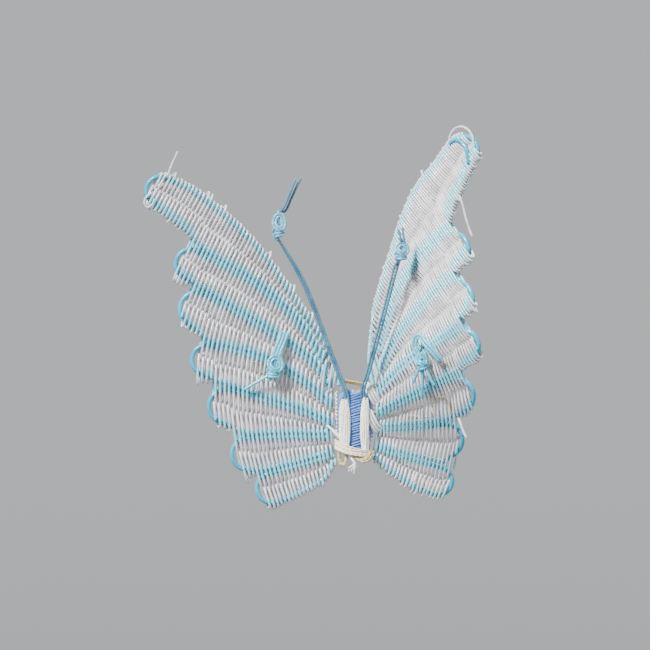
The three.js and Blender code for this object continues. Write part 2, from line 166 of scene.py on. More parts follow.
@dataclass
class Skin:
    """The corners, faces and face-corner coordinates of a piece, gathered before it becomes a mesh."""

    corners: list[np.ndarray] = field(default_factory=list)
    faces: list[np.ndarray] = field(default_factory=list)
    wraps: list[np.ndarray] = field(default_factory=list)
    # painted light: each corner's share of a painted light colour
    painted_tints: list[np.ndarray] = field(default_factory=list)
    count: int = 0

    def add(
        self,
        corners: np.ndarray,
        faces: Sequence[np.ndarray],
        wraps: Sequence[np.ndarray],
        painted_tint: np.ndarray | None = None,
    ) -> None:
        """Adds corners and the faces between them.

        Args:
            corners: the places, one row each.
            faces: arrays of faces, each face a row of corner numbers.
            wraps: a coordinate for each corner of each face, (faces, corners, 2) for each array.
            painted_tint: how much each corner takes of a painted light colour, or None for none.
        """
        self.corners.append(corners)
        self.painted_tints.append(np.zeros(len(corners)) if painted_tint is None else painted_tint)
        self.faces.extend(f + self.count for f in faces)
        self.wraps.extend(wraps)
        self.count += len(corners)

    def tube(
        self,
        path: np.ndarray,
        radius: float | np.ndarray,
        sides: int = 8,
        flat_end: bool = False,
        painted_tint: float | np.ndarray = 0.0,
    ) -> "Skin":
        """Adds a round tube along a path, with round ends.

        Each ring is the path's point plus radius times (cos, sin) along two directions square to the path.
        The ends are rings on a half ball and a pole. Face corners hold the distance along and the turn round.

        Args:
            path: the middle line's points, one row each.
            radius: one radius, or one for each point.
            sides: how many sides the tube has.
            flat_end: whether the ends are cut square, with only a slight bulge.
            painted_tint: one share of painted light colour, or one for each point.

        Returns:
            The skin itself.
        """
        along, across, up = sections(path)
        size = np.broadcast_to(np.asarray(radius, float), (len(path),))
        bulge = FLAT_BULGE if flat_end else 1.0
        first, last = size[0], size[-1]
        centres = np.vstack(
            [
                path[0] - along[0] * (first * bulge * np.sin(END_TILTS))[:, None],
                path,
                path[-1] + along[-1] * (last * bulge * np.sin(END_TILTS[::-1]))[:, None],
            ]
        )
        grow = np.concatenate([first * np.cos(END_TILTS), size, last * np.cos(END_TILTS[::-1])])
        end_rings = len(END_TILTS) + 1
        pad = [end_rings] + [1] * (len(path) - 2) + [end_rings]
        side, top = np.repeat(across, pad, axis=0), np.repeat(up, pad, axis=0)
        turn = np.arange(sides) * 2 * math.pi / sides
        ring = side[:, None] * np.cos(turn)[:, None] + top[:, None] * np.sin(turn)[:, None]
        corners = (centres[:, None] + ring * grow[:, None, None]).reshape(-1, 3)
        poles = np.array([path[0] - along[0] * first * bulge, path[-1] + along[-1] * last * bulge])
        rows = len(centres)
        quads, row, step = grid_faces(rows, sides, sides)
        length = distances(centres)
        wrap = np.stack([length[row], step / sides], axis=-1)
        edge = np.arange(sides)
        following = (edge + 1) % sides
        low = np.stack([np.full(sides, rows * sides), following, edge], axis=1)
        base = (rows - 1) * sides
        high = np.stack([np.full(sides, rows * sides + 1), base + edge, base + following], axis=1)
        fan = np.zeros((sides, 3, 2))
        shade = np.repeat(np.broadcast_to(np.asarray(painted_tint, float), (len(path),)), pad)
        self.add(
            np.vstack([corners, poles]),
            [quads, low, high],
            [wrap, fan, fan + [length[-1], 0.0]],
            np.concatenate([np.repeat(shade, sides), shade[[0, -1]]]),
        )
        return self

    def tubes(self, paths: Iterable[np.ndarray], radius: float, sides: int = 8) -> "Skin":
        """Adds a tube along each of several paths."""
        for path in paths:
            self.tube(path, radius, sides)
        return self

    def sheet(self, grid: np.ndarray, closed_round: bool = False) -> "Skin":
        """Adds a surface through a grid of points, with coordinates from 0 to 1 along and across it.

        Args:
            grid: the points, (rows, columns, 3).
            closed_round: whether each row's last point joins its first.

        Returns:
            The skin itself.
        """
        rows, columns = grid.shape[:2]
        spans = columns if closed_round else columns - 1
        quads, row, step = grid_faces(rows, columns, spans)
        self.add(grid.reshape(-1, 3), [quads], [np.stack([row / (rows - 1), step / spans], axis=-1)])
        return self

    def build(self, name: str) -> bpy.types.Object:
        """Makes the smooth-shaded Blender object, at the origin.

        Args:
            name: the object's name.

        Returns:
            The object, with the coordinates as its UV map, "wrap", and the shares of painted light colour as its
            attribute, "painted_tint".
        """
        corners = np.vstack(self.corners) * MM
        sizes = np.concatenate([np.full(len(f), f.shape[1]) for f in self.faces])
        loops = np.concatenate([f.ravel() for f in self.faces])
        starts = np.concatenate([[0], np.cumsum(sizes)[:-1]])
        mesh = bpy.data.meshes.new(name)
        mesh.vertices.add(len(corners))
        mesh.vertices.foreach_set("co", corners.astype(np.float32).ravel())
        mesh.loops.add(len(loops))
        mesh.loops.foreach_set("vertex_index", loops.astype(np.int32))
        mesh.polygons.add(len(sizes))
        mesh.polygons.foreach_set("loop_start", starts.astype(np.int32))
        mesh.polygons.foreach_set("use_smooth", np.ones(len(sizes), bool))
        wrap = mesh.uv_layers.new(name="wrap")
        places = np.vstack([w.reshape(-1, 2) for w in self.wraps])
        wrap.data.foreach_set("uv", places.astype(np.float32).ravel())
        painted_tint = mesh.attributes.new("painted_tint", "FLOAT", "POINT")
        painted_tint.data.foreach_set("value", np.concatenate(self.painted_tints).astype(np.float32))
        mesh.update(calc_edges=True)
        mesh.validate()
        made = bpy.data.objects.new(name, mesh)
        bpy.context.scene.collection.objects.link(made)
        return made


# ---- Finishes ---------------------------------------------------------------------------------


@dataclass
class Graph:
    """A material's node tree, with short calls for its nodes."""

    material: bpy.types.Material

    def node(self, kind: str, **values: object) -> bpy.types.Node:
        """Adds a node and sets its properties."""
        made = self.material.node_tree.nodes.new("ShaderNode" + kind)
        for key, value in values.items():
            setattr(made, key, value)
        return made

    def link(self, source: bpy.types.NodeSocket, target: bpy.types.NodeSocket) -> None:
        """Joins an output to an input."""
        self.material.node_tree.links.new(source, target)

    def maths(
        self, operation: str, a: bpy.types.NodeSocket | float, b: bpy.types.NodeSocket | float = 0.0
    ) -> bpy.types.NodeSocket:
        """Adds a maths node on two sockets or numbers.

        Args:
            operation: Blender's name for the sum.
            a: the first value.
            b: the second value, which a sine doesn't read.

        Returns:
            The result.
        """
        made = self.node("Math", operation=operation)
        for socket, value in zip(made.inputs, (a, b)):
            if isinstance(value, bpy.types.NodeSocket):
                self.link(value, socket)
            else:
                socket.default_value = value
        return made.outputs[0]

    def noise(self, scale: float, detail: float = 2.0, stretch: Place = (1, 1, 1)) -> bpy.types.NodeSocket:
        """Adds noise over the piece's own coordinates.

        Args:
            scale: how many waves there are in a metre.
            detail: how many finer layers are added.
            stretch: what each axis is multiplied by first.

        Returns:
            The noise, from 0 to 1.
        """
        place = self.node("TexCoord")
        mapping = self.node("Mapping")
        mapping.inputs["Scale"].default_value = stretch
        texture = self.node("TexNoise")
        texture.inputs["Scale"].default_value = scale
        texture.inputs["Detail"].default_value = detail
        self.link(place.outputs["Object"], mapping.inputs["Vector"])
        self.link(mapping.outputs["Vector"], texture.inputs["Vector"])
        return texture.outputs["Fac"]

    def wrap(self) -> tuple[bpy.types.NodeSocket, bpy.types.NodeSocket]:
        """Gives the distance along the piece and the turn round it, from its UV map."""
        place = self.node("UVMap", uv_map="wrap")
        split = self.node("SeparateXYZ")
        self.link(place.outputs["UV"], split.inputs["Vector"])
        return split.outputs["X"], split.outputs["Y"]

    def ramp(
        self, factor: bpy.types.NodeSocket, stops: Sequence[tuple[float, Colour]]
    ) -> bpy.types.NodeSocket:
        """Adds a colour ramp.

        Args:
            factor: the value that picks the colour.
            stops: each stop's position and colour.

        Returns:
            The colour picked.
        """
        made = self.node("ValToRGB")
        band = made.color_ramp
        while len(band.elements) < len(stops):
            band.elements.new(0.5)
        for element, (at, colour) in zip(band.elements, stops):
            element.position = at
            element.color = (*colour, 1.0)
        self.link(factor, made.inputs["Fac"])
        return made.outputs["Color"]

    def mix(
        self,
        factor: bpy.types.NodeSocket,
        colour: bpy.types.NodeSocket,
        other: Colour,
    ) -> bpy.types.NodeSocket:
        """Mixes a colour towards another one by a factor.

        A mix node has its sockets for every type of value at once: its inputs 6 and 7 are the two colours,
        and its output 2 is their mix.

        Args:
            factor: how far to go, from 0 to 1.
            colour: the colour to start from.
            other: the colour to go to.

        Returns:
            The mixed colour.
        """
        made = self.node("Mix", data_type="RGBA")
        made.inputs[7].default_value = (*other, 1.0)
        self.link(factor, made.inputs["Factor"])
        self.link(colour, made.inputs[6])
        return made.outputs[2]

    def between(self, factor: bpy.types.NodeSocket, low: float, high: float) -> bpy.types.NodeSocket:
        """Turns a value from 0 to 1 into one from low to high.

        Args:
            factor: the value.
            low: what 0 becomes.
            high: what 1 becomes.

        Returns:
            The new value.
        """
        made = self.node("MapRange")
        made.inputs["To Min"].default_value = low
        made.inputs["To Max"].default_value = high
        self.link(factor, made.inputs["Value"])
        return made.outputs["Result"]

    def bump(self, height: bpy.types.NodeSocket, depth: float) -> bpy.types.NodeSocket:
        """Adds a bump.

        Args:
            height: the relief, from 0 to about 1.
            depth: how deep a relief of 1 is, in millimetres.

        Returns:
            The bumped normal.
        """
        made = self.node("Bump")
        made.inputs["Distance"].default_value = depth * MM
        self.link(height, made.inputs["Height"])
        return made.outputs["Normal"]


@dataclass(frozen=True)
class Finish:
    """What every finish has: the record's slot, two shades that it drifts between, and its gloss."""

    slot: str
    light: Colour
    dark: Colour
    gloss: tuple[float, float] = (0.25, 0.4)  # roughness, from its glossiest to its dullest
    patch: float = 400.0  # patches of shade in a metre

    def start(self, name: str) -> tuple[bpy.types.Material, Graph, bpy.types.Node]:
        """Starts a node material.

        Args:
            name: the material's name.

        Returns:
            The material, its graph and its shader.
        """
        material = bpy.data.materials.new(name)
        material.use_nodes = True
        graph = Graph(material)
        return material, graph, material.node_tree.nodes["Principled BSDF"]


@dataclass(frozen=True)
class Nylon(Finish):
    """Smooth drawn plastic that lets some light through: cord and line."""

    clear: float = 0.2  # how much light passes straight through
    milky: float = 0.3  # how much light spreads inside
    ripple: float = 0.02  # the relief's depth
    # painted light: a colour painted where the painted tint is 1, for light that comes through the nylon line
    painted_light_colour: Colour | None = None  # the shade that it takes where the tint is 1
    ring_rate: float = 9.0  # how fast the ripples follow each other, in radians for each millimetre
    ring_share: float = 0.3  # how strong the ripples are beside the fine grain
    grain: float = 4000.0  # waves in a metre
    gloss_patch: float = 1500.0  # waves in a metre
    spread: Place = (0.8, 1.0, 1.0)  # how far red, green and blue spread inside, times the spread length
    spread_length: float = 0.4
    bending: float = 1.5  # refractive index of nylon

    def make(self) -> bpy.types.Material:
        """Shade drifts in soft patches, gloss varies along the line, and fine ripples run round it."""
        material, graph, shader = self.start(self.slot)
        along, _ = graph.wrap()
        drift = graph.noise(self.patch, 3.0)
        shade = graph.ramp(drift, [(0.35, self.dark), (0.65, self.light)])
        # painted light: the base colour is mixed towards the painted light colour by the mesh's painted tint
        if self.painted_light_colour:
            shade = graph.mix(graph.node("Attribute", attribute_name="painted_tint").outputs["Fac"], shade, self.painted_light_colour)
        graph.link(shade, shader.inputs["Base Color"])
        graph.link(graph.between(graph.noise(self.gloss_patch), *self.gloss), shader.inputs["Roughness"])
        rings = graph.maths("SINE", graph.maths("MULTIPLY", along, self.ring_rate))
        rough = graph.maths("ADD", graph.maths("MULTIPLY", rings, self.ring_share), graph.noise(self.grain))
        graph.link(graph.bump(rough, self.ripple), shader.inputs["Normal"])
        shader.inputs["Transmission Weight"].default_value = self.clear
        shader.inputs["Subsurface Weight"].default_value = self.milky
        shader.inputs["Subsurface Radius"].default_value = self.spread
        shader.inputs["Subsurface Scale"].default_value = self.spread_length * MM
        shader.inputs["IOR"].default_value = self.bending
        return material


@dataclass(frozen=True)
class Twist(Finish):
    """Spun thread or fibre: plies that turn round the strand, with a soft sheen."""

    plies: int = 3
    pitch: float = 0.9  # the length of one turn of a ply
    relief: float = 0.06  # the relief's depth
    sheen: float = 0.3
    fuzz: float = 9000.0  # waves in a metre
    fuzz_share: float = 0.4  # how strong the fuzz is beside the plies

    def make(self) -> bpy.types.Material:
        """The plies are a sine of turn round plus distance along over the pitch; shade and bump follow it."""
        material, graph, shader = self.start(self.slot)
        along, around = graph.wrap()
        climb = graph.maths("MULTIPLY", along, 1.0 / self.pitch)
        turn = graph.maths("MULTIPLY", graph.maths("ADD", climb, around), 2 * math.pi * self.plies)
        ply = graph.maths("ADD", graph.maths("MULTIPLY", graph.maths("SINE", turn), 0.35), 0.5)
        drift = graph.noise(self.patch, 3.0)
        shade = graph.maths("ADD", graph.maths("MULTIPLY", ply, 0.55), graph.maths("MULTIPLY", drift, 0.5))
        graph.link(graph.ramp(shade, [(0.25, self.dark), (0.7, self.light)]), shader.inputs["Base Color"])
        fuzz = graph.maths("ADD", ply, graph.maths("MULTIPLY", graph.noise(self.fuzz), self.fuzz_share))
        graph.link(graph.bump(fuzz, self.relief), shader.inputs["Normal"])
        graph.link(graph.between(drift, *self.gloss), shader.inputs["Roughness"])
        shader.inputs["Sheen Weight"].default_value = self.sheen
        return material


@dataclass(frozen=True)
class Brass(Finish):
    """Polished wire with faint drawing marks and a little tarnish."""

    smear: float = 900.0  # waves of gloss in a metre
    marks: float = 6000.0  # drawing marks in a metre
    mark_depth: float = 0.01

    def make(self) -> bpy.types.Material:
        """Colour and gloss drift in patches, and fine lines run along the metal."""
        material, graph, shader = self.start(self.slot)
        drift = graph.noise(self.patch, 4.0)
        graph.link(graph.ramp(drift, [(0.35, self.dark), (0.6, self.light)]), shader.inputs["Base Color"])
        graph.link(graph.between(graph.noise(self.smear, 4.0), *self.gloss), shader.inputs["Roughness"])
        marks = graph.noise(self.marks, stretch=(0.1, 1, 1))
        graph.link(graph.bump(marks, self.mark_depth), shader.inputs["Normal"])
        shader.inputs["Metallic"].default_value = 1.0
        return material


class Kit(Enum):
    """The finishes that the maker used, some of them with painted light and one with painted shade."""

    CORD = Nylon(
        "wing_cord",
        light=(0.012, 0.37, 0.54),
        dark=(0.006, 0.27, 0.42),
        gloss=(0.12, 0.25),
        patch=250.0,
        clear=0.0,
        milky=0.2,
        # painted light: the cord is painted paler along the ribs, where light comes to it through the milky
        # weave over it
        painted_light_colour=(0.20, 0.66, 0.80),
    )
    WEFT = Nylon(
        "weaving_line",
        light=(0.86, 0.84, 0.86),
        dark=(0.60, 0.57, 0.60),
        gloss=(0.12, 0.26),
        patch=500.0,
        clear=0.3,
        milky=0.1,
        # painted light: the cord's colour, seen through the clear line, is painted on it over each rib and round
        # the edges
        painted_light_colour=(0.25, 0.70, 0.80),
    )
    ANTENNA = Nylon(
        "antenna_line", (0.09, 0.27, 0.39), (0.04, 0.16, 0.26), (0.15, 0.3), 300.0, clear=0.15, milky=0.2
    )
    # painted light: the antenna line again, painted lighter in its knots
    LIT_KNOT = Nylon("antenna_line", (0.20, 0.52, 0.66), (0.11, 0.34, 0.50), (0.15, 0.3), 900.0, clear=0.15)
    TIE = Nylon("tie_line", (0.11, 0.56, 0.70), (0.05, 0.40, 0.56), (0.15, 0.3), 500.0, clear=0.15)
    LACING = Twist("lacing_thread", (0.90, 0.90, 0.90), (0.70, 0.70, 0.74), (0.5, 0.8), 800.0)
    THREAD = Twist("blue_thread", (0.11, 0.26, 0.70), (0.035, 0.10, 0.36), (0.45, 0.7), 700.0, sheen=0.4)
    FIBRE = Twist("cream_fibre", (0.94, 0.92, 0.82), (0.66, 0.62, 0.50), (0.5, 0.75), 600.0, 2, 2.4, 0.05)
    BINDING = Twist("binding_fibre", (0.88, 0.80, 0.68), (0.52, 0.40, 0.26), (0.5, 0.75), 450.0, 2, 1.8)
    # painted shade: the binding fibre again, painted darker for the loops under the binding
    SHADED_BIGHT = Twist("binding_fibre", (0.62, 0.51, 0.28), (0.24, 0.18, 0.07), (0.5, 0.75), 450.0, 2, 1.8)
    BRASS = Brass("pin_brass", (0.92, 0.74, 0.32), (0.70, 0.48, 0.14), (0.15, 0.35), 500.0)


@dataclass
class Wardrobe:
    """Makes each finish's material once and dresses pieces in it."""

    made: dict[Kit, bpy.types.Material] = field(default_factory=dict)

    def dress(self, piece: bpy.types.Object, kit: Kit) -> None:
        """Gives a piece one finish, in a material named for its slot."""
        if kit not in self.made:
            self.made[kit] = kit.value.make()
        piece.data.materials.clear()
        piece.data.materials.append(self.made[kit])


WARDROBE = Wardrobe()


def place(skin: Skin, name: str, kit: Kit, body: str, nodes: Sequence[str] = ()) -> bpy.types.Object:
    """Builds a piece, dresses it, lets it ride on a body and stand for CAD nodes.

    Args:
        skin: the piece's surface.
        name: the piece's name.
        kit: its finish.
        body: the body that it moves with.
        nodes: the CAD nodes that it stands for.

    Returns:
        The finished object.
    """
    piece = skin.build(name)
    WARDROBE.dress(piece, kit)
    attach(piece, body)
    if nodes:
        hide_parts(*nodes)
    log.info("%s: %d faces on %s", name, len(piece.data.polygons), body)
    return piece


# ---- Wings ------------------------------------------------------------------------------------


RIB_POINTS = 28  # along one rib
ARC_POINTS = 13  # round one petal's end
CORD_POINTS = 620  # along a wing's whole frame cord


@dataclass(frozen=True)
class End:
    """A petal's round end: its centre and radius, with any points of the neck before it."""

    at: Flat
    radius: float
    neck: tuple[Flat, ...] = ()


@dataclass(frozen=True)
class Fringe:
    """How far the turns of the weaving line stand out past a wing's edges."""

    usual: float = 0.12
    spread: float = 0.16
    upper: float = 0.6  # what the upper turns have of the spread
    loop: float = 0.9  # how much further the big upper loops reach
    finger: float = 2.3  # past a petal's lower side near its round end
    finger_rows: int = 5
    long: tuple[int, ...] = (1, 3, 5)  # the petals with long turns
    short: float = 0.3  # what the other petals' turns have of it
    big: float = 0.08  # how many of the upper turns are big loops
    # painted light: the share of the cord's colour, seen through the line, that is painted on the turns
    painted_tint: float = 0.15  # how much the turns take of the cord's colour


@dataclass
class Wing:
    """One wing, laid out flat as [outward, up] and then swept forward."""

    side: int
    name: str
    hinge: float
    sweep: tuple[float, float, float]  # base, turn for each radian of bearing, most
    ribs: tuple[tuple[Flat, ...], ...]
    ends: tuple[End, ...]
    pitch: float  # between rows of weave, near the root line
    bend: tuple[float, float]  # how much rows lean, and over what height
    narrowing: tuple[float, float]  # how much closer rows lie at the top, and over what height
    seed: int
    fringe: Fringe = Fringe()
    over: tuple[Flat, ...] = ()  # a turn of the weaving line over the tip
    tail: tuple[Flat, ...] = ()  # the cord's other end, laid inside the tip
    centre_height: float = ROOT_HEIGHT
    margin: float = 0.95  # bare stretch inside each round end
    early: float = 2.3  # how many rows are laid before the ribs' first points
    stray: float = 0.09  # how far a row strays from its place, in rows
    crest_gap: float = 0.8  # how far above its last rib the highest cord is, where a row goes on to it

    # -- the flat layout --

    def rib(self, index: int) -> np.ndarray:
        """Gives a rib's line: through its points, and then touching the end of the petal below it.

        Args:
            index: the rib's number, from the lowest.

        Returns:
            Points on it, evenly spaced, outward from the root.
        """
        points = points_of(self.ribs[index])
        lowest = index == 0
        end = self.ends[0 if lowest else index - 1]
        reach = end.radius + (0.0 if self.is_single(index) else RIB_HALF_GAP)
        touch = self.touch(points[-1], np.array(end.at), reach, -1 if lowest else 1)
        return evenly(smooth(np.vstack([points, touch]), 12), RIB_POINTS)

    def is_single(self, index: int) -> bool:
        """Tells whether a rib is one cord: the lowest and the highest are."""
        return index in (0, len(self.ribs) - 1)

    def petal(self, index: int) -> tuple[np.ndarray, np.ndarray, np.ndarray]:
        """Gives a petal's cord.

        Args:
            index: the petal's number, from the lowest.

        Returns:
            Its lower side outward, its round end upward, and its upper side outward.
        """
        lower = self.beside(self.rib(index), 0.0 if self.is_single(index) else RIB_HALF_GAP)
        upper = self.beside(self.rib(index + 1), 0.0 if self.is_single(index + 1) else -RIB_HALF_GAP)
        end = self.ends[index]
        centre = np.array(end.at)
        if end.neck:
            lower = np.vstack([lower, points_of(end.neck)])
        start = self.touch(lower[-1], centre, end.radius, -1) - centre
        first = math.atan2(start[1], start[0])
        stop = upper[-1] - centre
        last = math.atan2(stop[1], stop[0])
        last += 2 * math.pi * math.ceil((first - last) / (2 * math.pi))
        turn = np.linspace(first, last, ARC_POINTS)[:-1]
        arc = centre + end.radius * np.stack([np.cos(turn), np.sin(turn)], axis=1)
        return lower, arc, upper

    @staticmethod
    def touch(start: np.ndarray, centre: np.ndarray, radius: float, way: int) -> np.ndarray:
        """Finds where a line from a point touches a circle.

        The line turns from the centre's bearing by the angle whose sine is the radius over the distance.

        Args:
            start: the point.
            centre: the circle's centre.
            radius: its radius.
            way: -1 to touch its lower side, 1 its upper side.

        Returns:
            The place of touch, or the point itself where it is on the circle already.
        """
        across = centre - start
        far = float(np.linalg.norm(across))
        if far < radius * 1.02:
            return start
        angle = math.atan2(across[1], across[0]) + way * math.asin(radius / far)
        return start + math.sqrt(far**2 - radius**2) * np.array([math.cos(angle), math.sin(angle)])

    @staticmethod
    def beside(line: np.ndarray, distance: float) -> np.ndarray:
        """Moves a flat line sideways, upwards for a positive distance."""
        along = unit(np.gradient(line, axis=0))
        return line + distance * np.stack([-along[:, 1], along[:, 0]], axis=1)

    def outline(self) -> np.ndarray:
        """Gives the whole frame cord's flat line: out and back round each petal, with a tight turn between."""
        parts: list[np.ndarray] = []
        for index in range(len(self.ends)):
            lower, arc, upper = self.petal(index)
            if parts:
                parts.append(self.root_turn(parts[-1][-1], lower[0]))
            parts.extend([lower, arc, upper[::-1]])
        return np.vstack(parts)

    @staticmethod
    def root_turn(upper: np.ndarray, lower: np.ndarray) -> np.ndarray:
        """Gives points on the half circle from one petal's cord to the next one's, towards the body.

        Each is the middle, plus the arm times the cosine, plus the arm's square direction times the sine.
        """
        centre, arm = (upper + lower) / 2, (upper - lower) / 2
        turn = np.pi * np.array([0.25, 0.5, 0.75])
        return centre + np.outer(np.cos(turn), arm) + np.outer(np.sin(turn), [-arm[1], arm[0]])

    # -- the sweep into space --

    def space(self, flat: np.ndarray, proud: np.ndarray | float = 0.0) -> np.ndarray:
        """Puts flat points into space, proud of the wing's surface by a distance.

        The depth is minus the slope times the distance outward from the hinge, where the slope is the base
        plus the turn times the point's bearing from the root, held between zero and the most.

        Args:
            flat: the flat points, one row each.
            proud: one distance to the front, or one for each point.

        Returns:
            The points in space, one row each.
        """
        place_at = self.surface(flat[:, 0], flat[:, 1])
        nudge = 0.01
        out = self.surface(flat[:, 0] + nudge, flat[:, 1]) - place_at
        rise = self.surface(flat[:, 0], flat[:, 1] + nudge) - place_at
        normal = unit(np.cross(out, rise)) * self.side
        return place_at + normal * np.broadcast_to(np.asarray(proud, float), (len(flat),))[:, None]

    def surface(self, outward: np.ndarray, up: np.ndarray) -> np.ndarray:
        """Gives the wing's middle surface at flat places."""
        base, turn, most = self.sweep
        reach = outward - self.hinge
        bearing = np.arctan2(up - self.centre_height, np.maximum(reach, 0.01))
        depth = -np.clip(base + turn * bearing, 0.0, most) * np.maximum(reach, 0.0)
        return np.stack([self.side * outward, depth, up], axis=-1)

    # -- the rows of weave --

    def lean(self, up: np.ndarray) -> np.ndarray:
        """Gives how far a row falls back towards the body at a height: a rounded V about the wing's centre."""
        share, height = self.bend
        return share * height * np.log(np.cosh((up - self.centre_height) / height))

    def closeness(self, up: np.ndarray) -> np.ndarray:
        """Gives how close the rows lie at a height, from one at the bottom to less at the top."""
        drop, height = self.narrowing
        return 1.0 - drop * (1 + np.tanh(up / height)) / 2

    def row_of(self, flat: np.ndarray) -> np.ndarray:
        """Gives the row number at flat places, with fractions between rows."""
        return (flat[:, 0] - self.hinge + self.lean(flat[:, 1])) / (self.closeness(flat[:, 1]) * self.pitch)

    def row_place(self, row: np.ndarray | float, up: np.ndarray) -> np.ndarray:
        """Gives the flat places of a row at heights: what row_of turns back into the row."""
        outward = self.hinge + row * self.closeness(up) * self.pitch - self.lean(up)
        return np.stack([outward, up], axis=-1)

    def crossings(self) -> tuple[np.ndarray, np.ndarray, np.ndarray]:
        """Finds the heights at which each row crosses each petal's lower and upper cord.

        Returns:
            Two arrays, (petals, rows), that hold nan where a row doesn't cross the petal, and the heights at
            which the rows before the last petal cross the highest cord, which comes down to the body.
        """
        petals = []
        for index in range(len(self.ends)):
            lower, arc, upper = self.petal(index)
            petals.append(smooth(np.vstack([lower, arc, upper[::-1]]), 3))
        rows = np.arange(self.row_count(petals))
        low = np.full((len(petals), len(rows)), np.nan)
        high = low.copy()
        for i, line in enumerate(petals):
            number = self.row_of(line)
            tip = int(np.argmax(number))
            out_number = np.maximum.accumulate(number[: tip + 1])
            back_number = np.maximum.accumulate(number[tip:][::-1])
            low[i] = np.interp(rows, out_number, line[: tip + 1, 1])
            high[i] = np.interp(rows, back_number, line[tip:][::-1, 1])
            bare = self.margin / self.pitch / float(self.closeness(line[tip : tip + 1, 1])[0])
            first = max(out_number[0], back_number[0])
            missed = (rows < first - self.early) | (rows > number[tip] - bare)
            low[i, missed] = np.nan
            high[i, missed] = np.nan
            crest = np.where(rows < first, np.interp(rows, back_number, line[tip:][::-1, 1]), np.nan)
        return low, high, crest

    def row_count(self, petals: Sequence[np.ndarray]) -> int:
        """Gives the number of rows that reach the furthest petal."""
        return int(max(self.row_of(line).max() for line in petals))

    def stations(
        self, low: np.ndarray, high: np.ndarray, crest: np.ndarray, row: int
    ) -> list[tuple[int, float]]:
        """Lists a row's crossings. A doubled rib counts once.

        Args:
            low: where rows cross the petals' lower cords, as crossings gives them.
            high: where rows cross the petals' upper cords.
            crest: where rows cross the highest cord before the last petal.
            row: the row's number.

        Returns:
            Each crossing's rib and height, from the lowest up.
        """
        crossed = [i for i in range(len(self.ends)) if not np.isnan(low[i, row])]
        found: list[tuple[int, float]] = []
        for i in crossed:
            if i - 1 in crossed:
                found[-1] = (i, (high[i - 1, row] + low[i, row]) / 2)
            else:
                if found:
                    found[-1] = (i, (found[-1][1] + low[i, row]) / 2)
                else:
                    found.append((i, float(low[i, row])))
            found.append((i + 1, float(high[i, row])))
        highest = len(self.ends)
        if found and found[-1][0] != highest and crest[row] > found[-1][1] + self.crest_gap:
            found.append((highest, float(crest[row])))
        return found

    def weft_paths(self) -> list[tuple[np.ndarray, np.ndarray]]:
        """Lays the weaving line: up one row and down the next, over and under the ribs.

        Between two ribs the line stands proud by the cover times the cosine of half a turn, eased so that it
        stays flat over the ribs. At an edge it goes round the cord in half a circle that is drawn out.

        Returns:
            The line's unbroken stretches in space, with each one's shares of painted light.
        """
        chance = np.random.default_rng(self.seed)
        low, high, crest = self.crossings()
        rows = [(r, self.stations(low, high, crest, r)) for r in range(low.shape[1])]
        rows = [(r, s) for r, s in rows if len(s) >= 2]
        strands: list[tuple[np.ndarray, np.ndarray]] = []
        line: list[np.ndarray] = []
        painted_tints: list[np.ndarray] = []
        for place_in_order, (row, found) in enumerate(rows):
            upward = place_in_order % 2 == 0
            shift = chance.normal(0.0, self.stray)
            flat, proud, painted_tint = self.pass_over(row + shift, row, found)
            if not upward:
                flat, proud, painted_tint = flat[::-1], proud[::-1], painted_tint[::-1]
            line.append(self.space(flat, proud))
            painted_tints.append(painted_tint)
            last = place_in_order == len(rows) - 1
            following = None if last else rows[place_in_order + 1]
            if following is None or (not upward and following[1][0][0] != found[0][0]):
                strands.append((np.vstack(line), np.concatenate(painted_tints)))
                line, painted_tints = [], []
                continue
            if upward:
                out = self.fringe.usual + chance.exponential(self.fringe.spread) * self.fringe.upper
                out += self.fringe.loop * (chance.uniform() < self.fringe.big)
                end, start = found[-1], following[1][-1]
            else:
                out = self.fringe.usual + chance.exponential(self.fringe.spread)
                out += self.finger_length(rows, place_in_order) * chance.uniform(0.5, 1.15)
                end, start = found[0], following[1][0]
            line.append(self.turn(row, end, following[0], start, out, 1 if upward else -1))
            painted_tints.append(np.full(len(line[-1]), self.fringe.painted_tint))
        return strands

    def finger_length(self, rows: list[tuple[int, list[tuple[int, float]]]], here: int) -> float:
        """Gives the extra length of a lower turn: it grows over the last few rows before a petal's round end.

        Args:
            rows: every row's number and crossings.
            here: the row's place in that list.

        Returns:
            How much further its lower turn reaches.
        """
        rib = rows[here][1][0][0]
        left = 0
        for _, found in rows[here:]:
            if found[0][0] != rib:
                break
            left += 1
        share = max(0.0, 1 - left / self.fringe.finger_rows / 2)
        return self.fringe.finger * share * (1.0 if rib in self.fringe.long else self.fringe.short)

    def cover(self) -> float:
        """Gives how far the weaving line's middle stands proud over a rib."""
        return CORD_RADIUS + WEFT_RADIUS - 0.01

    def pass_over(
        self, row: float, number: int, found: list[tuple[int, float]]
    ) -> tuple[np.ndarray, np.ndarray, np.ndarray]:
        """Lays one row upward through its crossings.

        Args:
            row: where the row lies, in rows.
            number: its number, which sets which ribs it goes over.
            found: its crossings.

        Returns:
            Its flat places, how proud each one is, and how much of the cord's colour, seen through the line, is
            painted there.
        """
        heights: list[np.ndarray] = []
        proud: list[np.ndarray] = []
        t = (1 - np.cos(np.pi * np.arange(12) / 12)) / 2
        eased = t - 0.55 * np.sin(2 * np.pi * t) / (2 * np.pi)
        for (rib, start), (next_rib, stop) in zip(found, found[1:]):
            sign = 1 if (number + rib) % 2 == 0 else -1
            same = (next_rib - rib) % 2 == 0
            swing = np.ones_like(t) if same else np.cos(np.pi * eased)
            heights.append(start + (stop - start) * t)
            proud.append(self.cover() * sign * swing)
        last_rib, last = found[-1]
        heights.append(np.array([last]))
        proud.append(np.array([self.cover() * (1 if (number + last_rib) % 2 == 0 else -1)]))
        up = np.concatenate(heights)
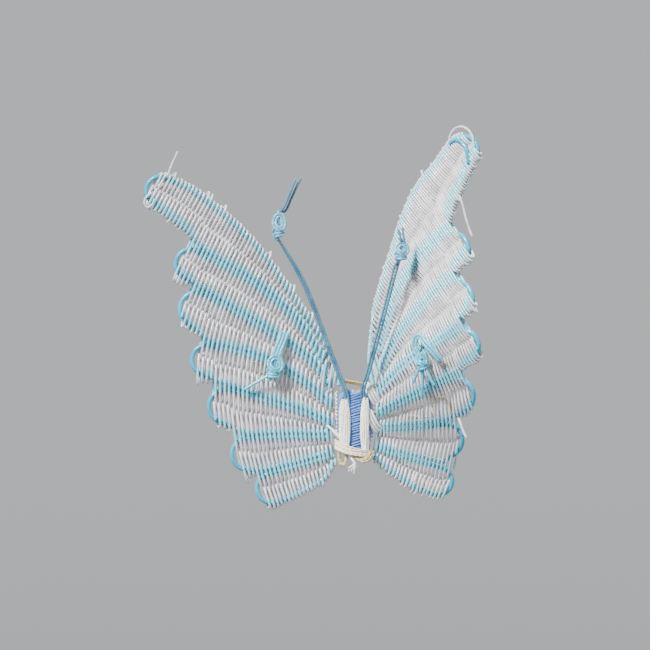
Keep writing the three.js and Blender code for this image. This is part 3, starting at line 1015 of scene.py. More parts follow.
        # painted light: the cord's colour, seen through the line, is painted on it where it crosses each rib
        painted_tint = np.zeros_like(up)
        for rib, height in found:
            band = CORD_RADIUS if self.is_single(rib) else CORD_RADIUS + RIB_HALF_GAP
            painted_tint = np.maximum(painted_tint, np.clip((band + 0.25 - np.abs(up - height)) / 0.4, 0, 1) * 0.9)
        return self.row_place(row, up), np.concatenate(proud), painted_tint

    def turn(
        self, row: int, end: tuple[int, float], next_row: int, start: tuple[int, float], out: float, way: int
    ) -> np.ndarray:
        """Takes the line round an edge cord from one row to the next.

        The turn is half a circle: outward by the reach times the sine, to a power that rounds its end, and
        proud by the cover times the cosine, while its place drifts from one row to the other.

        Args:
            row: the number of the row that it leaves.
            end: the crossing that it leaves from.
            next_row: the number of the row that it goes to.
            start: the crossing that it goes to.
            out: how far it stands out past the cord.
            way: 1 at the top of a row and -1 at the bottom.

        Returns:
            The turn's points in space.
        """
        turn = np.linspace(0, np.pi, 9)[1:-1]
        drift = (1 - np.cos(turn)) / 2
        height = end[1] + (start[1] - end[1]) * drift
        number = row + (next_row - row) * drift
        reach = (self.cover() * 0.85 + out) * np.sin(turn) ** 0.75
        sign = 1 if (row + end[0]) % 2 == 0 else -1
        flat = self.row_place(number, height)
        ahead = self.row_place(number, height + 0.05 * way)
        flat = flat + unit(ahead - flat) * reach[:, None]
        return self.space(flat, self.cover() * sign * np.cos(turn))

    # -- pieces --

    def painted_light_among_weave(self, flat: np.ndarray) -> np.ndarray:
        """Gives how much painted light the cord takes, as a paler colour for light through the milky weave over
        it: none round a petal's end, most along a rib.

        It is how far a place lies outside the nearest end's circle, over a fade length, held below the most.

        Args:
            flat: the cord's flat points, one row each.

        Returns:
            A share of painted light for each point.
        """
        centres = points_of(end.at for end in self.ends)
        radii = np.array([end.radius for end in self.ends])
        outside = (np.linalg.norm(flat[:, None] - centres, axis=2) - radii).min(axis=1)
        return np.clip((outside - 0.2) / 1.6, 0.0, 0.8)

    def build(self) -> None:
        """Makes the frame cord and the woven line."""
        cord = smooth(evenly(self.outline(), CORD_POINTS), 2)
        # painted light: the cord takes its paler painted colour along the ribs
        edge = Skin().tube(self.space(cord), CORD_RADIUS, 10, painted_tint=self.painted_light_among_weave(cord))
        if self.tail:
            edge.tube(self.space(smooth(points_of(self.tail)), 0.75), CORD_RADIUS, 10, flat_end=True)
        place(edge, f"{self.name}_edge_cord", Kit.CORD, self.body, [f"{self.name}_frame_cord"])
        weft = Skin()
        for path, painted_tint in self.weft_paths():
            weft.tube(path, WEFT_RADIUS, 8, painted_tint=painted_tint)
        if self.over:
            weft.tube(self.space(smooth(points_of(self.over)), 0.72), WEFT_RADIUS, 8)
        woven = [f"{self.name}_weave_{i + 1}" for i in range(len(self.ends))]
        place(weft, f"{self.name}_woven_line", Kit.WEFT, self.body, woven)

    @property
    def body(self) -> str:
        """The body that the wing's pieces ride on."""
        return f"{self.name}_wing"


LEFT_WING = Wing(
    side=-1,
    name="left",
    hinge=HINGE,
    sweep=(0.06, 0.0, 0.06),
    ribs=(
        ((4.3, -15.9), (4.9, -17.6), (6.4, -19.3), (10.5, -21.7)),
        ((4.9, -14.2), (10.8, -15.9)),
        ((4.9, -10.3), (13.0, -10.2)),
        ((4.9, -7.7), (9.6, -5.6), (18.0, -2.9)),
        ((4.9, -3.9), (9.6, 0.3), (19.0, 5.5)),
        ((4.9, 0.2), (9.0, 5.2), (17.2, 10.9)),
        ((6.3, 5.0), (10.6, 12.0), (19.2, 19.9)),
        (
            *((3.1, -0.2), (3.5, 2.8), (6.0, 8.2), (9.0, 12.8)),
            *((13.2, 19.0), (19.2, 27.0), (25.4, 33.2), (32.4, 38.6)),
        ),
    ),
    ends=(
        End((16.4, -21.0), 3.0),
        End((21.2, -14.2), 3.2),
        End((25.6, -4.6), 3.4),
        End((29.4, 4.6), 3.0),
        End((31.4, 14.8), 3.4),
        End((32.6, 23.8), 3.0),
        End((38.6, 38.4), 2.9, ((33.0, 30.4),)),
    ),
    pitch=0.43,
    bend=(0.55, 25.0),
    narrowing=(-0.12, 12.0),
    seed=11,
    over=((40.6, 37.9), (41.6, 37.0), (41.9, 35.9), (41.3, 35.1), (40.4, 35.6), (39.9, 36.6)),
)

RIGHT_WING = Wing(
    side=1,
    name="right",
    hinge=HINGE,
    sweep=(0.55, 0.54, 1.0),
    ribs=(
        ((4.5, -14.9), (7.8, -17.8), (11.4, -20.2)),
        ((5.0, -12.9), (10.0, -14.3)),
        ((5.0, -8.9), (12.0, -8.4)),
        ((5.0, -5.9), (11.0, -2.7)),
        ((5.0, -1.4), (10.8, 4.4), (15.6, 7.8)),
        ((5.0, 1.6), (8.4, 8.6), (12.8, 14.4)),
        ((5.0, 6.4), (8.2, 16.6), (12.0, 23.6)),
        (
            *((3.8, -0.2), (3.1, 3.6), (3.4, 8.8), (4.7, 15.8)),
            *((7.2, 24.0), (9.8, 32.0), (12.6, 38.4), (16.6, 43.6)),
        ),
    ),
    ends=(
        End((16.8, -19.6), 2.8),
        End((18.4, -11.4), 3.2),
        End((20.2, -2.6), 3.6),
        End((21.6, 7.4), 3.1),
        End((20.2, 17.0), 3.2),
        End((19.6, 26.8), 3.0),
        End((21.8, 46.4), 2.6, ((18.6, 32.2), (20.1, 36.6))),
    ),
    pitch=0.42,
    bend=(0.8, 30.0),
    narrowing=(0.3, 12.0),
    seed=23,
    fringe=Fringe(finger=1.5, long=(3, 4, 5), big=0.03),
    over=((19.3, 46.9), (19.5, 49.0), (20.3, 50.4), (21.6, 50.9), (22.9, 50.4), (23.8, 49.1), (24.2, 47.0)),
    tail=((19.5, 47.6), (20.5, 48.3), (21.7, 47.9), (22.6, 46.7), (23.0, 45.2), (23.2, 43.6)),
    margin=0.55,
)


# ---- Knots and lines --------------------------------------------------------------------------

KNOT_FILL = 0.8  # how much of a knot's half sizes its line's middle takes up
KNOT_ROUTE = points_of(
    (
        (0.0, -1.2, 0.0),
        (-0.50, -0.92, 0.30),
        (0.05, -0.84, 0.85),
        (0.66, -0.72, 0.25),
        (0.20, -0.62, -0.70),
        (-0.62, -0.50, -0.25),
        (-0.30, -0.36, 0.75),
        (0.52, -0.24, 0.60),
        (0.80, 0.05, 0.10),
        (0.72, 0.50, 0.10),
        (0.25, 0.92, 0.15),
        (-0.35, 0.88, 0.20),
        (-0.76, 0.42, 0.30),
        (-0.62, -0.02, 0.70),
        (-0.10, -0.26, 0.95),
        (0.42, -0.55, 0.55),
        (0.30, -0.40, -0.20),
        (0.08, 0.15, -0.10),
        (0.05, 0.70, 0.0),
        (0.0, 1.25, 0.10),
    )
)  # a knot as [across, along, towards the front]: two turns round the line, and a loop that it leaves through


def abreast(path: np.ndarray, spacing: float, count: int = 2) -> list[np.ndarray]:
    """Gives the lines that lie side by side along a path, as seen from the front.

    Args:
        path: the middle line's points, one row each.
        spacing: the distance between two lines.
        count: how many lines there are.

    Returns:
        Each line's points.
    """
    along = unit(np.gradient(path, axis=0))
    side = unit(np.cross(along, FRONT))
    return [path + side * spacing * (index - (count - 1) / 2) for index in range(count)]


def knot_at(at: Sequence[float], half: Sequence[float], lean: float) -> np.ndarray:
    """Stretches the knot's route to its half sizes, turns it in the wing's plane and puts it in place.

    Args:
        at: the knot's middle.
        half: its half width, half depth and half height.
        lean: how far its top leans to the right, in degrees.

    Returns:
        The points that the line passes through in the knot.
    """
    across, along, front = (KNOT_ROUTE * np.array([half[0], half[2], half[1]])).T
    turn = math.radians(lean)
    x = across * math.cos(turn) + along * math.sin(turn)
    z = along * math.cos(turn) - across * math.sin(turn)
    return np.array(at) + np.stack([x, -front, z], axis=1)


@dataclass(frozen=True)
class Antenna:
    """One antenna: two lines side by side from the body, a knot, and the lines' free ends."""

    name: str
    stem: tuple[Place, ...]
    at: Place  # the knot's middle
    half: Place  # its half width, half depth and half height
    lean: float  # degrees
    tails: tuple[tuple[Place, ...], ...]
    spacing: float = 0.55

    def build(self) -> None:
        """Makes each line in three pieces that meet: its stem, its turns in the knot and its free end."""
        knot = knot_at(self.at, np.array(self.half) * KNOT_FILL, self.lean)
        body = f"{self.name}_antenna"
        for index, tail in enumerate(self.tails):
            line = index + 1
            aside = np.array([(index - 0.5) * self.spacing, 0.0, 0.0])
            stem = evenly(smooth(np.vstack([points_of(self.stem) + aside, knot[:1]]), 10), 120)
            name = f"{self.name}_antenna_line_{line}"
            place(Skin().tube(stem, ANTENNA_RADIUS, 10), name, Kit.ANTENNA, body, [f"{body}_strand_{line}"])
            free = evenly(smooth(np.vstack([knot[-2:], points_of(tail)]), 10), 50)
            name = f"{self.name}_antenna_tip_{line}"
            tip = Skin().tube(free, ANTENNA_RADIUS, 10, flat_end=True)
            place(tip, name, Kit.ANTENNA, body, [f"{body}_tail_{line}"])
        coil = abreast(evenly(smooth(knot, 10), 200), KNOT_RADIUS * 1.8)
        turns = Skin().tubes(coil, KNOT_RADIUS, 10)
        # the knots wear the antenna line's lighter, painted-light copy
        place(turns, f"{self.name}_antenna_turns", Kit.LIT_KNOT, body, [f"{body}_knot"])


ANTENNAE = (
    Antenna(
        name="left",
        stem=(
            (-1.2, -2.05, -4.4),
            (-1.4, -2.35, -3.0),
            (-1.85, -2.4, -1.3),
            (-4.95, -3.8, 6.8),
            (-7.5, -5.0, 13.8),
            (-10.75, -6.8, 21.4),
        ),
        at=(-15.0, -8.8, 31.4),
        half=(1.5, 1.2, 2.7),
        lean=4.0,
        tails=(
            ((-14.4, -9.2, 34.4), (-13.2, -9.7, 36.8), (-11.7, -10.0, 40.6)),
            ((-13.8, -8.8, 34.2), (-12.5, -9.1, 36.8), (-10.6, -9.6, 40.9)),
        ),
    ),
    Antenna(
        name="right",
        stem=(
            (1.9, -2.05, -4.0),
            (1.75, -2.35, -2.8),
            (1.75, -2.5, -1.6),
            (3.2, -4.0, 3.6),
            (5.4, -6.8, 11.8),
            (7.2, -9.2, 18.8),
            (8.5, -10.8, 23.6),
        ),
        at=(9.4, -11.8, 26.3),
        half=(1.6, 1.3, 1.9),
        lean=10.0,
        tails=(
            ((9.3, -12.3, 28.4), (9.1, -12.5, 29.4), (8.8, -12.6, 30.6)),
            ((9.9, -12.2, 28.3), (9.8, -12.4, 29.4), (9.6, -12.5, 31.0)),
        ),
    ),
)


@dataclass(frozen=True)
class Tie:
    """A doubled line knotted through the middle of a wing: its loop, its knot and its ends."""

    name: str
    loop: tuple[Place, ...]
    at: Place  # the knot's middle
    half: Place  # its half width, half depth and half height
    lean: float  # degrees
    ends: tuple[tuple[Place, ...], ...]
    strands: int = 2  # how many lines lie side by side in the loop

    def build(self) -> None:
        """Makes the loop, the knot and the ends past it."""
        body = f"{self.name}_wing"
        knot = knot_at(self.at, np.array(self.half) * KNOT_FILL, self.lean)
        coil = abreast(evenly(smooth(knot, 10), 160), TIE_RADIUS * 1.8)
        hitch = Skin().tubes(coil, TIE_RADIUS, 10)
        place(hitch, f"{self.name}_tie_hitch", Kit.TIE, body, [f"{self.name}_tie_knot"])
        loop = abreast(evenly(smooth(points_of(self.loop), 8), 50), TIE_RADIUS * 2.1, self.strands)
        bight = Skin().tubes(loop, TIE_RADIUS, 10)
        place(bight, f"{self.name}_tie_bight", Kit.TIE, body, [f"{self.name}_tie_loop"])
        for index, end in enumerate(self.ends):
            suffix = f"_{index + 1}" if len(self.ends) > 1 else ""
            line = evenly(smooth(points_of(end), 8), 24)
            tail = Skin().tube(line, TIE_RADIUS, 10, flat_end=True)
            place(tail, f"{self.name}_tie_tail{suffix}", Kit.TIE, body, [f"{self.name}_tie_end{suffix}"])


TIES = (
    Tie(
        name="left",
        loop=(
            (-13.9, -1.2, 10.1),
            (-14.1, -1.9, 9.4),
            (-14.6, -2.35, 8.0),
            (-15.2, -2.6, 6.6),
            (-15.5, -2.8, 5.0),
        ),
        at=(-15.9, -2.9, 3.2),
        half=(1.9, 1.15, 2.6),
        lean=15.0,
        ends=(((-16.6, -3.1, 1.9), (-17.5, -3.2, 1.3), (-19.4, -3.0, 0.2), (-21.9, -2.8, -1.3)),),
        strands=3,
    ),
    Tie(
        name="right",
        loop=(
            (13.0, -12.6, 4.8),
            (12.4, -12.2, 6.3),
            (12.0, -12.0, 7.8),
            (12.2, -12.0, 9.0),
            (13.0, -12.4, 9.3),
            (13.9, -13.2, 8.2),
            (15.4, -14.2, 6.5),
            (16.9, -14.4, 4.8),
        ),
        at=(13.4, -12.2, 4.3),
        half=(1.2, 1.0, 1.7),
        lean=-5.0,
        ends=(
            ((13.0, -12.2, 3.4), (12.5, -11.9, 2.0), (12.1, -11.3, 1.0), (11.7, -10.8, 0.1)),
            ((13.5, -12.2, 3.4), (13.6, -12.0, 2.1), (13.6, -11.2, -0.4), (13.4, -10.2, -2.8)),
            ((13.8, -12.4, 3.4), (14.5, -12.5, 2.3), (15.1, -12.6, 1.1), (15.9, -12.6, -0.4)),
        ),
    ),
)


@dataclass(frozen=True)
class LineEnd:
    """A cut end of the weaving line that stands clear of a wing."""

    node: str
    body: str
    points: tuple[Place, ...]

    def build(self) -> None:
        """Makes the end as a tube that is cut square."""
        cut = Skin().tube(evenly(smooth(points_of(self.points), 8), 24), WEFT_RADIUS, 10, flat_end=True)
        place(cut, f"{self.node}_cut", Kit.WEFT, self.body, [self.node])


LINE_ENDS = (
    LineEnd(
        node="left_tip_line_end",
        body="left_wing",
        points=((-37.4, -2.3, 41.0), (-36.9, -2.7, 42.3), (-36.4, -2.9, 43.6), (-35.2, -3.0, 46.2)),
    ),
    LineEnd(
        node="right_tip_line_end",
        body="right_wing",
        points=((20.9, -18.2, 37.2), (21.5, -18.9, 35.3), (22.2, -19.2, 32.4), (23.3, -19.4, 29.2)),
    ),
    LineEnd(
        node="right_side_line_end",
        body="right_wing",
        points=((20.8, -9.9, -7.0), (21.2, -10.6, -8.1), (21.6, -10.9, -9.3), (22.3, -11.1, -10.8)),
    ),
)


# ---- Body -------------------------------------------------------------------------------------


@dataclass(frozen=True)
class Post:
    """A bundle of soft fibres that stands on the body's front."""

    name: str
    x: float
    y: float
    half_width: float
    half_depth: float
    top: float
    bottom: float
    fibres: int
    seed: int

    def build(self) -> None:
        """A smooth core inside an oval ring of fibres, each drawn in at its two ends."""
        chance = np.random.default_rng(self.seed)
        up = np.linspace(self.bottom, self.top, 24)
        share = np.linspace(0, 1, 24)
        swell = 0.5 + 0.5 * np.sin(np.pi * np.clip(share * 1.04, 0, 1)) ** 0.4
        turn = np.linspace(0, 2 * np.pi, 25)[:-1]
        core = np.stack(
            [
                self.x + np.outer(swell, np.cos(turn)) * (self.half_width - FIBRE_RADIUS * 1.6),
                self.y + np.outer(swell, np.sin(turn)) * (self.half_depth - FIBRE_RADIUS),
                np.repeat(up[:, None], 24, axis=1),
            ],
            axis=-1,
        )
        skin = Skin().sheet(core, closed_round=True)
        paths = []
        angles = np.linspace(0, 2 * np.pi, self.fibres, endpoint=False)
        for angle in angles + chance.uniform(-0.06, 0.06, self.fibres):
            reach = chance.uniform(0.84, 1.08)
            wave = 0.11 * np.sin(share * chance.uniform(3, 8) + chance.uniform(0, 6))
            length = chance.uniform(-0.5, 0.35)
            paths.append(
                np.stack(
                    [
                        self.x + self.half_width * reach * swell * math.cos(angle) + wave,
                        self.y + self.half_depth * reach * swell * math.sin(angle),
                        up + length * share,
                    ],
                    axis=1,
                )
            )
        for path in paths:
            skin.tube(path, FIBRE_RADIUS * chance.uniform(0.8, 1.5), 7)
        place(skin, f"{self.name}_bundle", Kit.FIBRE, "body", [self.name])


POSTS = (
    Post("left_fibre_post", -1.9, -2.42, 1.0, 0.42, -3.5, -13.3, 22, 3),
    Post("right_fibre_post", 2.15, -2.3, 0.72, 0.36, -3.2, -14.0, 17, 4),
)


@dataclass(frozen=True)
class Body:
    """The core with its thread wrap, the binding round its foot and the loose fibre there."""

    x: float = 0.1
    y: float = -0.2
    half_width: float = 2.95
    flatness: float = 0.54
    top: float = -1.0
    bottom: float = -13.4
    pitch: float = 0.29  # between turns of thread
    sway: float = 0.04  # how far a turn strays up or down
    crossing_turns: int = 21
    crossing_step: float = 0.52  # between crossing turns
    rim_fibres: int = 60
    binding_strands: int = 13
    widths: tuple[tuple[float, float], ...] = ((-13.4, 3.0), (-8.0, 3.3), (-4.5, 3.25), (-2.6, 2.9), (-1.0, 2.2))
    binding_at: tuple[float, float, float] = (-0.1, -0.65, -13.75)
    binding_half: tuple[float, float] = (3.6, 2.45)
    binding_fall: float = 1.5
    binding_width: float = 1.7
    seed: int = 7

    def oval(self, turn: np.ndarray, up: np.ndarray, grow: float = 0.0) -> tuple[np.ndarray, np.ndarray]:
        """Gives the wrap's middle line at turns round the body and heights, in x and y.

        The body's half width at each height comes from its list of widths, and is flattened front to back.

        Args:
            turn: the turns, in radians.
            up: the heights.
            grow: how far outside the wrap's middle line to stay.

        Returns:
            The places in x, and the places in y.
        """
        width = np.interp(up, *zip(*self.widths))
        half = width - THREAD_RADIUS + grow
        depth = width * self.flatness - THREAD_RADIUS + grow
        return self.x + half * np.cos(turn), self.y + depth * np.sin(turn)

    def rim(self, x: np.ndarray) -> np.ndarray:
        """Gives how high the thread reaches at a place across the body: two peaks with a notch between."""
        peak = np.exp(-(((x + 1.3) / 0.9) ** 2)) + 0.85 * np.exp(-(((x - 1.5) / 0.6) ** 2))
        return self.top - 1.0 + np.minimum(peak, 1.0) - 0.16 * (x - self.x) ** 2

    def wrap(self) -> None:
        """The thread: one oval helix whose height wavers, drawn down to the rim, with crossing turns over it."""
        chance = np.random.default_rng(self.seed)
        turns = (self.top - self.bottom) / self.pitch
        turn = np.linspace(0, 2 * np.pi * turns, int(turns * 28))
        marks = np.arange(0, turn[-1] + 2, 2.0)
        waver = np.interp(turn, marks, chance.normal(0, self.sway, len(marks)))
        up = self.bottom + 0.1 + (self.top - self.bottom) * turn / turn[-1] + waver
        x, y = self.oval(turn, up)
        limit = self.rim(x) - THREAD_RADIUS
        over = np.maximum(up - limit, 0.0)
        up = up - over + 0.1 * np.tanh(over)
        x, y = self.oval(turn, up, 0.12)
        skin = Skin().tube(np.stack([x, y, up], axis=1), THREAD_RADIUS * 1.12, 7)
        swing = np.linspace(-0.42, 0.46, 18) * np.pi - np.pi / 2
        for index in range(self.crossing_turns):
            rise = self.bottom + 0.9 + index * self.crossing_step + chance.normal(0, 0.08)
            climb = chance.uniform(0.25, 0.5)
            across = self.x + 0.9 * self.half_width * np.cos(swing)
            height = rise + climb * (across - self.x)
            x, y = self.oval(swing, height, THREAD_RADIUS * 2.2)
            path = np.stack([x, y, np.minimum(height, self.rim(x) - 0.1)], axis=1)
            skin.tube(path, THREAD_RADIUS * 1.05, 7)
        place(skin, "body_thread", Kit.THREAD, "body", ["thread_wrap"])

    def core(self) -> None:
        """The fibre core: a column under the thread, with a soft fringe of fibre ends along the rim."""
        chance = np.random.default_rng(self.seed + 1)
        turn = np.linspace(0, 2 * np.pi, 33)[:-1]
        share = np.linspace(0, 1, 22)[:, None]
        x, y = self.oval(turn, np.full(32, -6.0), -THREAD_RADIUS)
        up = self.bottom - 0.4 + (self.rim(x) - 0.35 - self.bottom + 0.4) * share
        x, y = self.oval(turn, up, -THREAD_RADIUS * 0.6)
        grid = np.stack([x, y, up], axis=-1)
        lid = grid[-1].mean(axis=0)
        inner = [lid + (grid[-1] - lid) * scale for scale in (0.6, 0.2, 0.01)]
        skin = Skin().sheet(np.concatenate([grid, np.stack(inner)]), closed_round=True)
        for _ in range(self.rim_fibres):
            angle = chance.uniform(0, 2 * np.pi)
            x, y = self.oval(np.array([angle]), np.array([self.top - 0.8]), 0.1)
            base = np.array([x[0], y[0], self.rim(x)[0] - 0.35])
            tip = base + np.array([chance.normal(0, 0.3), chance.normal(0, 0.2), chance.uniform(0.3, 0.6)])
            middle = (base + tip) / 2 + chance.normal(0, 0.1, 3)
            skin.tube(evenly(smooth(np.stack([base, middle, tip]), 4), 7), 0.06, 5)
        place(skin, "body_fibre_core", Kit.FIBRE, "body", ["body_core"])

    def binding(self) -> None:
        """Strands of fibre round the foot, that fall to the right and draw together there.

        Their middle line falls from the left by the fall times e to the minus the distance over its length,
        and by a slight slope all the way; their spread across it narrows with the distance.
        """
        chance = np.random.default_rng(self.seed + 2)
        skin = Skin()
        cx, cy, cz = self.binding_at
        turn = np.linspace(0, 2 * np.pi, 73)
        for index in range(self.binding_strands):
            grow = chance.uniform(-0.15, 0.15)
            spread = (index / (self.binding_strands - 1) - 0.5) * self.binding_width + chance.normal(0, 0.06)
            x = cx + (self.binding_half[0] + grow) * np.cos(turn)
            y = cy + (self.binding_half[1] + grow) * np.sin(turn)
            far = x - cx + self.binding_half[0]
            middle = cz + self.binding_fall * np.exp(-far / 2.0) - 0.05 * far
            wave = 0.09 * np.sin(chance.uniform(1.5, 3.0) * turn + chance.uniform(0, 6))
            up = middle + spread * (1.0 - 0.07 * far) + wave
            skin.tube(np.stack([x, y, up], axis=1), chance.uniform(0.12, 0.22), 7)
        place(skin, "foot_binding", Kit.BINDING, "body", ["bottom_binding"])

    def loose_fibre(self) -> None:
        """The loops under the binding and the splayed tuft, as bundles of strands that spread from one route."""
        chance = np.random.default_rng(self.seed + 3)
        left = points_of(
            (
                (-2.9, -2.0, -13.4),
                (-3.0, -2.1, -14.9),
                (-2.5, -2.2, -16.1),
                (-2.0, -2.2, -16.3),
                (-1.6, -2.1, -15.5),
                (-1.4, -2.0, -14.0),
            )
        )
        right = points_of(
            ((-0.4, -2.4, -13.9), (0.5, -2.6, -15.0), (1.5, -2.7, -15.4), (2.6, -2.5, -15.0), (3.4, -2.0, -13.9))
        )
        tuft = points_of(((-0.9, -2.5, -14.2), (-0.4, -2.7, -15.2), (0.1, -2.7, -16.2), (-0.4, -2.5, -17.2)))
        for name, node, route, count, spread, radius, kit in (
            # the loops under the binding wear the binding fibre's darker, painted-shade copy
            ("left_fibre_bight", "left_fibre_loop", left, 7, 0.26, 0.15, Kit.SHADED_BIGHT),
            ("right_fibre_bight", "right_fibre_loop", right, 14, 0.45, 0.17, Kit.SHADED_BIGHT),
            ("tuft_strands", "fibre_tuft", tuft, 18, 0.12, 0.10, Kit.FIBRE),
        ):
            skin = Skin()
            for _ in range(count):
                ends = np.array([0.8, 0.6, 1.0, 4.0]) if kit is Kit.FIBRE else np.linspace(0.6, 1.0, len(route))
                grow = ends[:, None]
                nudge = chance.normal(0, spread, 3) * np.array([1.0, 0.5, 0.8])
                skin.tube(evenly(smooth(route + nudge * grow, 6), 22), radius, 7)
            place(skin, name, kit, "body", [node])

    def build(self) -> None:
        """Makes the body's pieces."""
        self.core()
        self.wrap()
        for post in POSTS:
            post.build()
        self.binding()
        self.loose_fibre()


@dataclass(frozen=True)
class RootThreads:
    """White thread that laces each wing's root to the body, and lashes the pin to the body's back."""

    reach: float = 3.6  # the lacing's middle, outward
    waver: float = 0.17  # how far it swings from side to side
    depth: float = 0.25  # how far it swings from front to back
    top: float = -1.8
    step: float = 0.39  # its fall in each pass
    passes: int = 23
    hinge_span: float = 0.9  # how far each side of the hinge line a stitch bends
    seed: int = 31
    # each group of stitches: its height on the body, how far it falls, and how many there are
    crossings: dict[str, tuple[tuple[float, float, int], ...]] = field(
        default_factory=lambda: {"left": ((-10.6, -2.0, 3),), "right": ((-0.4, 3.4, 3), (-5.4, 3.6, 3))}
    )

    def build(self) -> None:
        """Makes the lacing on each side, the stitches that cross to the wing, and the two lashings."""
        for name, side in (("left", -1), ("right", 1)):
            count = np.arange(self.passes + 1)
            swing = np.where(count % 2 == 1, 1.0, -1.0)
            outward = side * (self.reach + swing * self.waver)
            zigzag = np.stack([outward, swing * self.depth, self.top - count * self.step], axis=1)
            lacing = Skin().tube(evenly(smooth(zigzag, 5), 170), THREAD_RADIUS, 7)
            place(lacing, f"{name}_lacing_thread", Kit.LACING, "body", [f"{name}_root_lacing"])
            self.stitches(name, side)
        fall = math.tan(math.radians(PIN_TILT))
        for name, x in (("left", -2.2), ("right", 2.5)):
            lift = -x * fall
            hook = points_of(
                (
                    (1.5, -2.6),
                    (2.15, -1.3),
                    (3.05, -0.55 + lift),
                    (3.25, 0.1 + lift),
                    (2.7, 0.62 + lift),
                    (2.02, 0.3 + lift),
                    (1.55, -0.3),
                    (0.9, -0.62),
                )
            )
            skin = Skin()
            for shift in (-0.3, 0.0, 0.3):
                path = np.stack([np.full(len(hook), x + shift), hook[:, 0], hook[:, 1] - shift * fall], axis=1)
                skin.tube(evenly(smooth(path, 6), 50), THREAD_RADIUS, 7)
            place(skin, f"{name}_pin_lashing_thread", Kit.LACING, "body", [f"{name}_pin_lashing"])

    def stitches(self, name: str, side: int) -> None:
        """Lines that start on the body's side and run down round the wing's innermost turns.

        They bend between the body and the wing. On the left they cross low, on the right high.

        Args:
            name: the wing's name.
            side: -1 on the left, 1 on the right.
        """
        chance = np.random.default_rng(self.seed + side)
        skin = Skin()
        for start, drop, count in self.crossings[name]:
            for index in range(count):
                up = start - 0.35 * index
                aside = -0.5 * index
                path = points_of(
                    (
                        (side * 2.4, -1.2, up + 0.4),
                        (side * (3.3 + aside * 0.6), -1.75, up),
                        (side * (3.95 + aside), -1.85, up - drop * 0.35),
                        (side * (4.6 + aside), -1.6, up - drop * 0.7 + chance.normal(0, 0.06)),
                        (side * (5.3 + aside), -0.95, up - drop),
                        (side * (5.4 + aside * 0.6), 0.2, up - drop - 0.3),
                    )
                )
                skin.tube(evenly(smooth(path, 8), 34), WEFT_RADIUS, 8)
        piece = skin.build(f"{name}_hinge_stitches")
        WARDROBE.dress(piece, Kit.LACING)
        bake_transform(piece)


# ---- Safety pin -------------------------------------------------------------------------------

PIN_TILT = 10.0


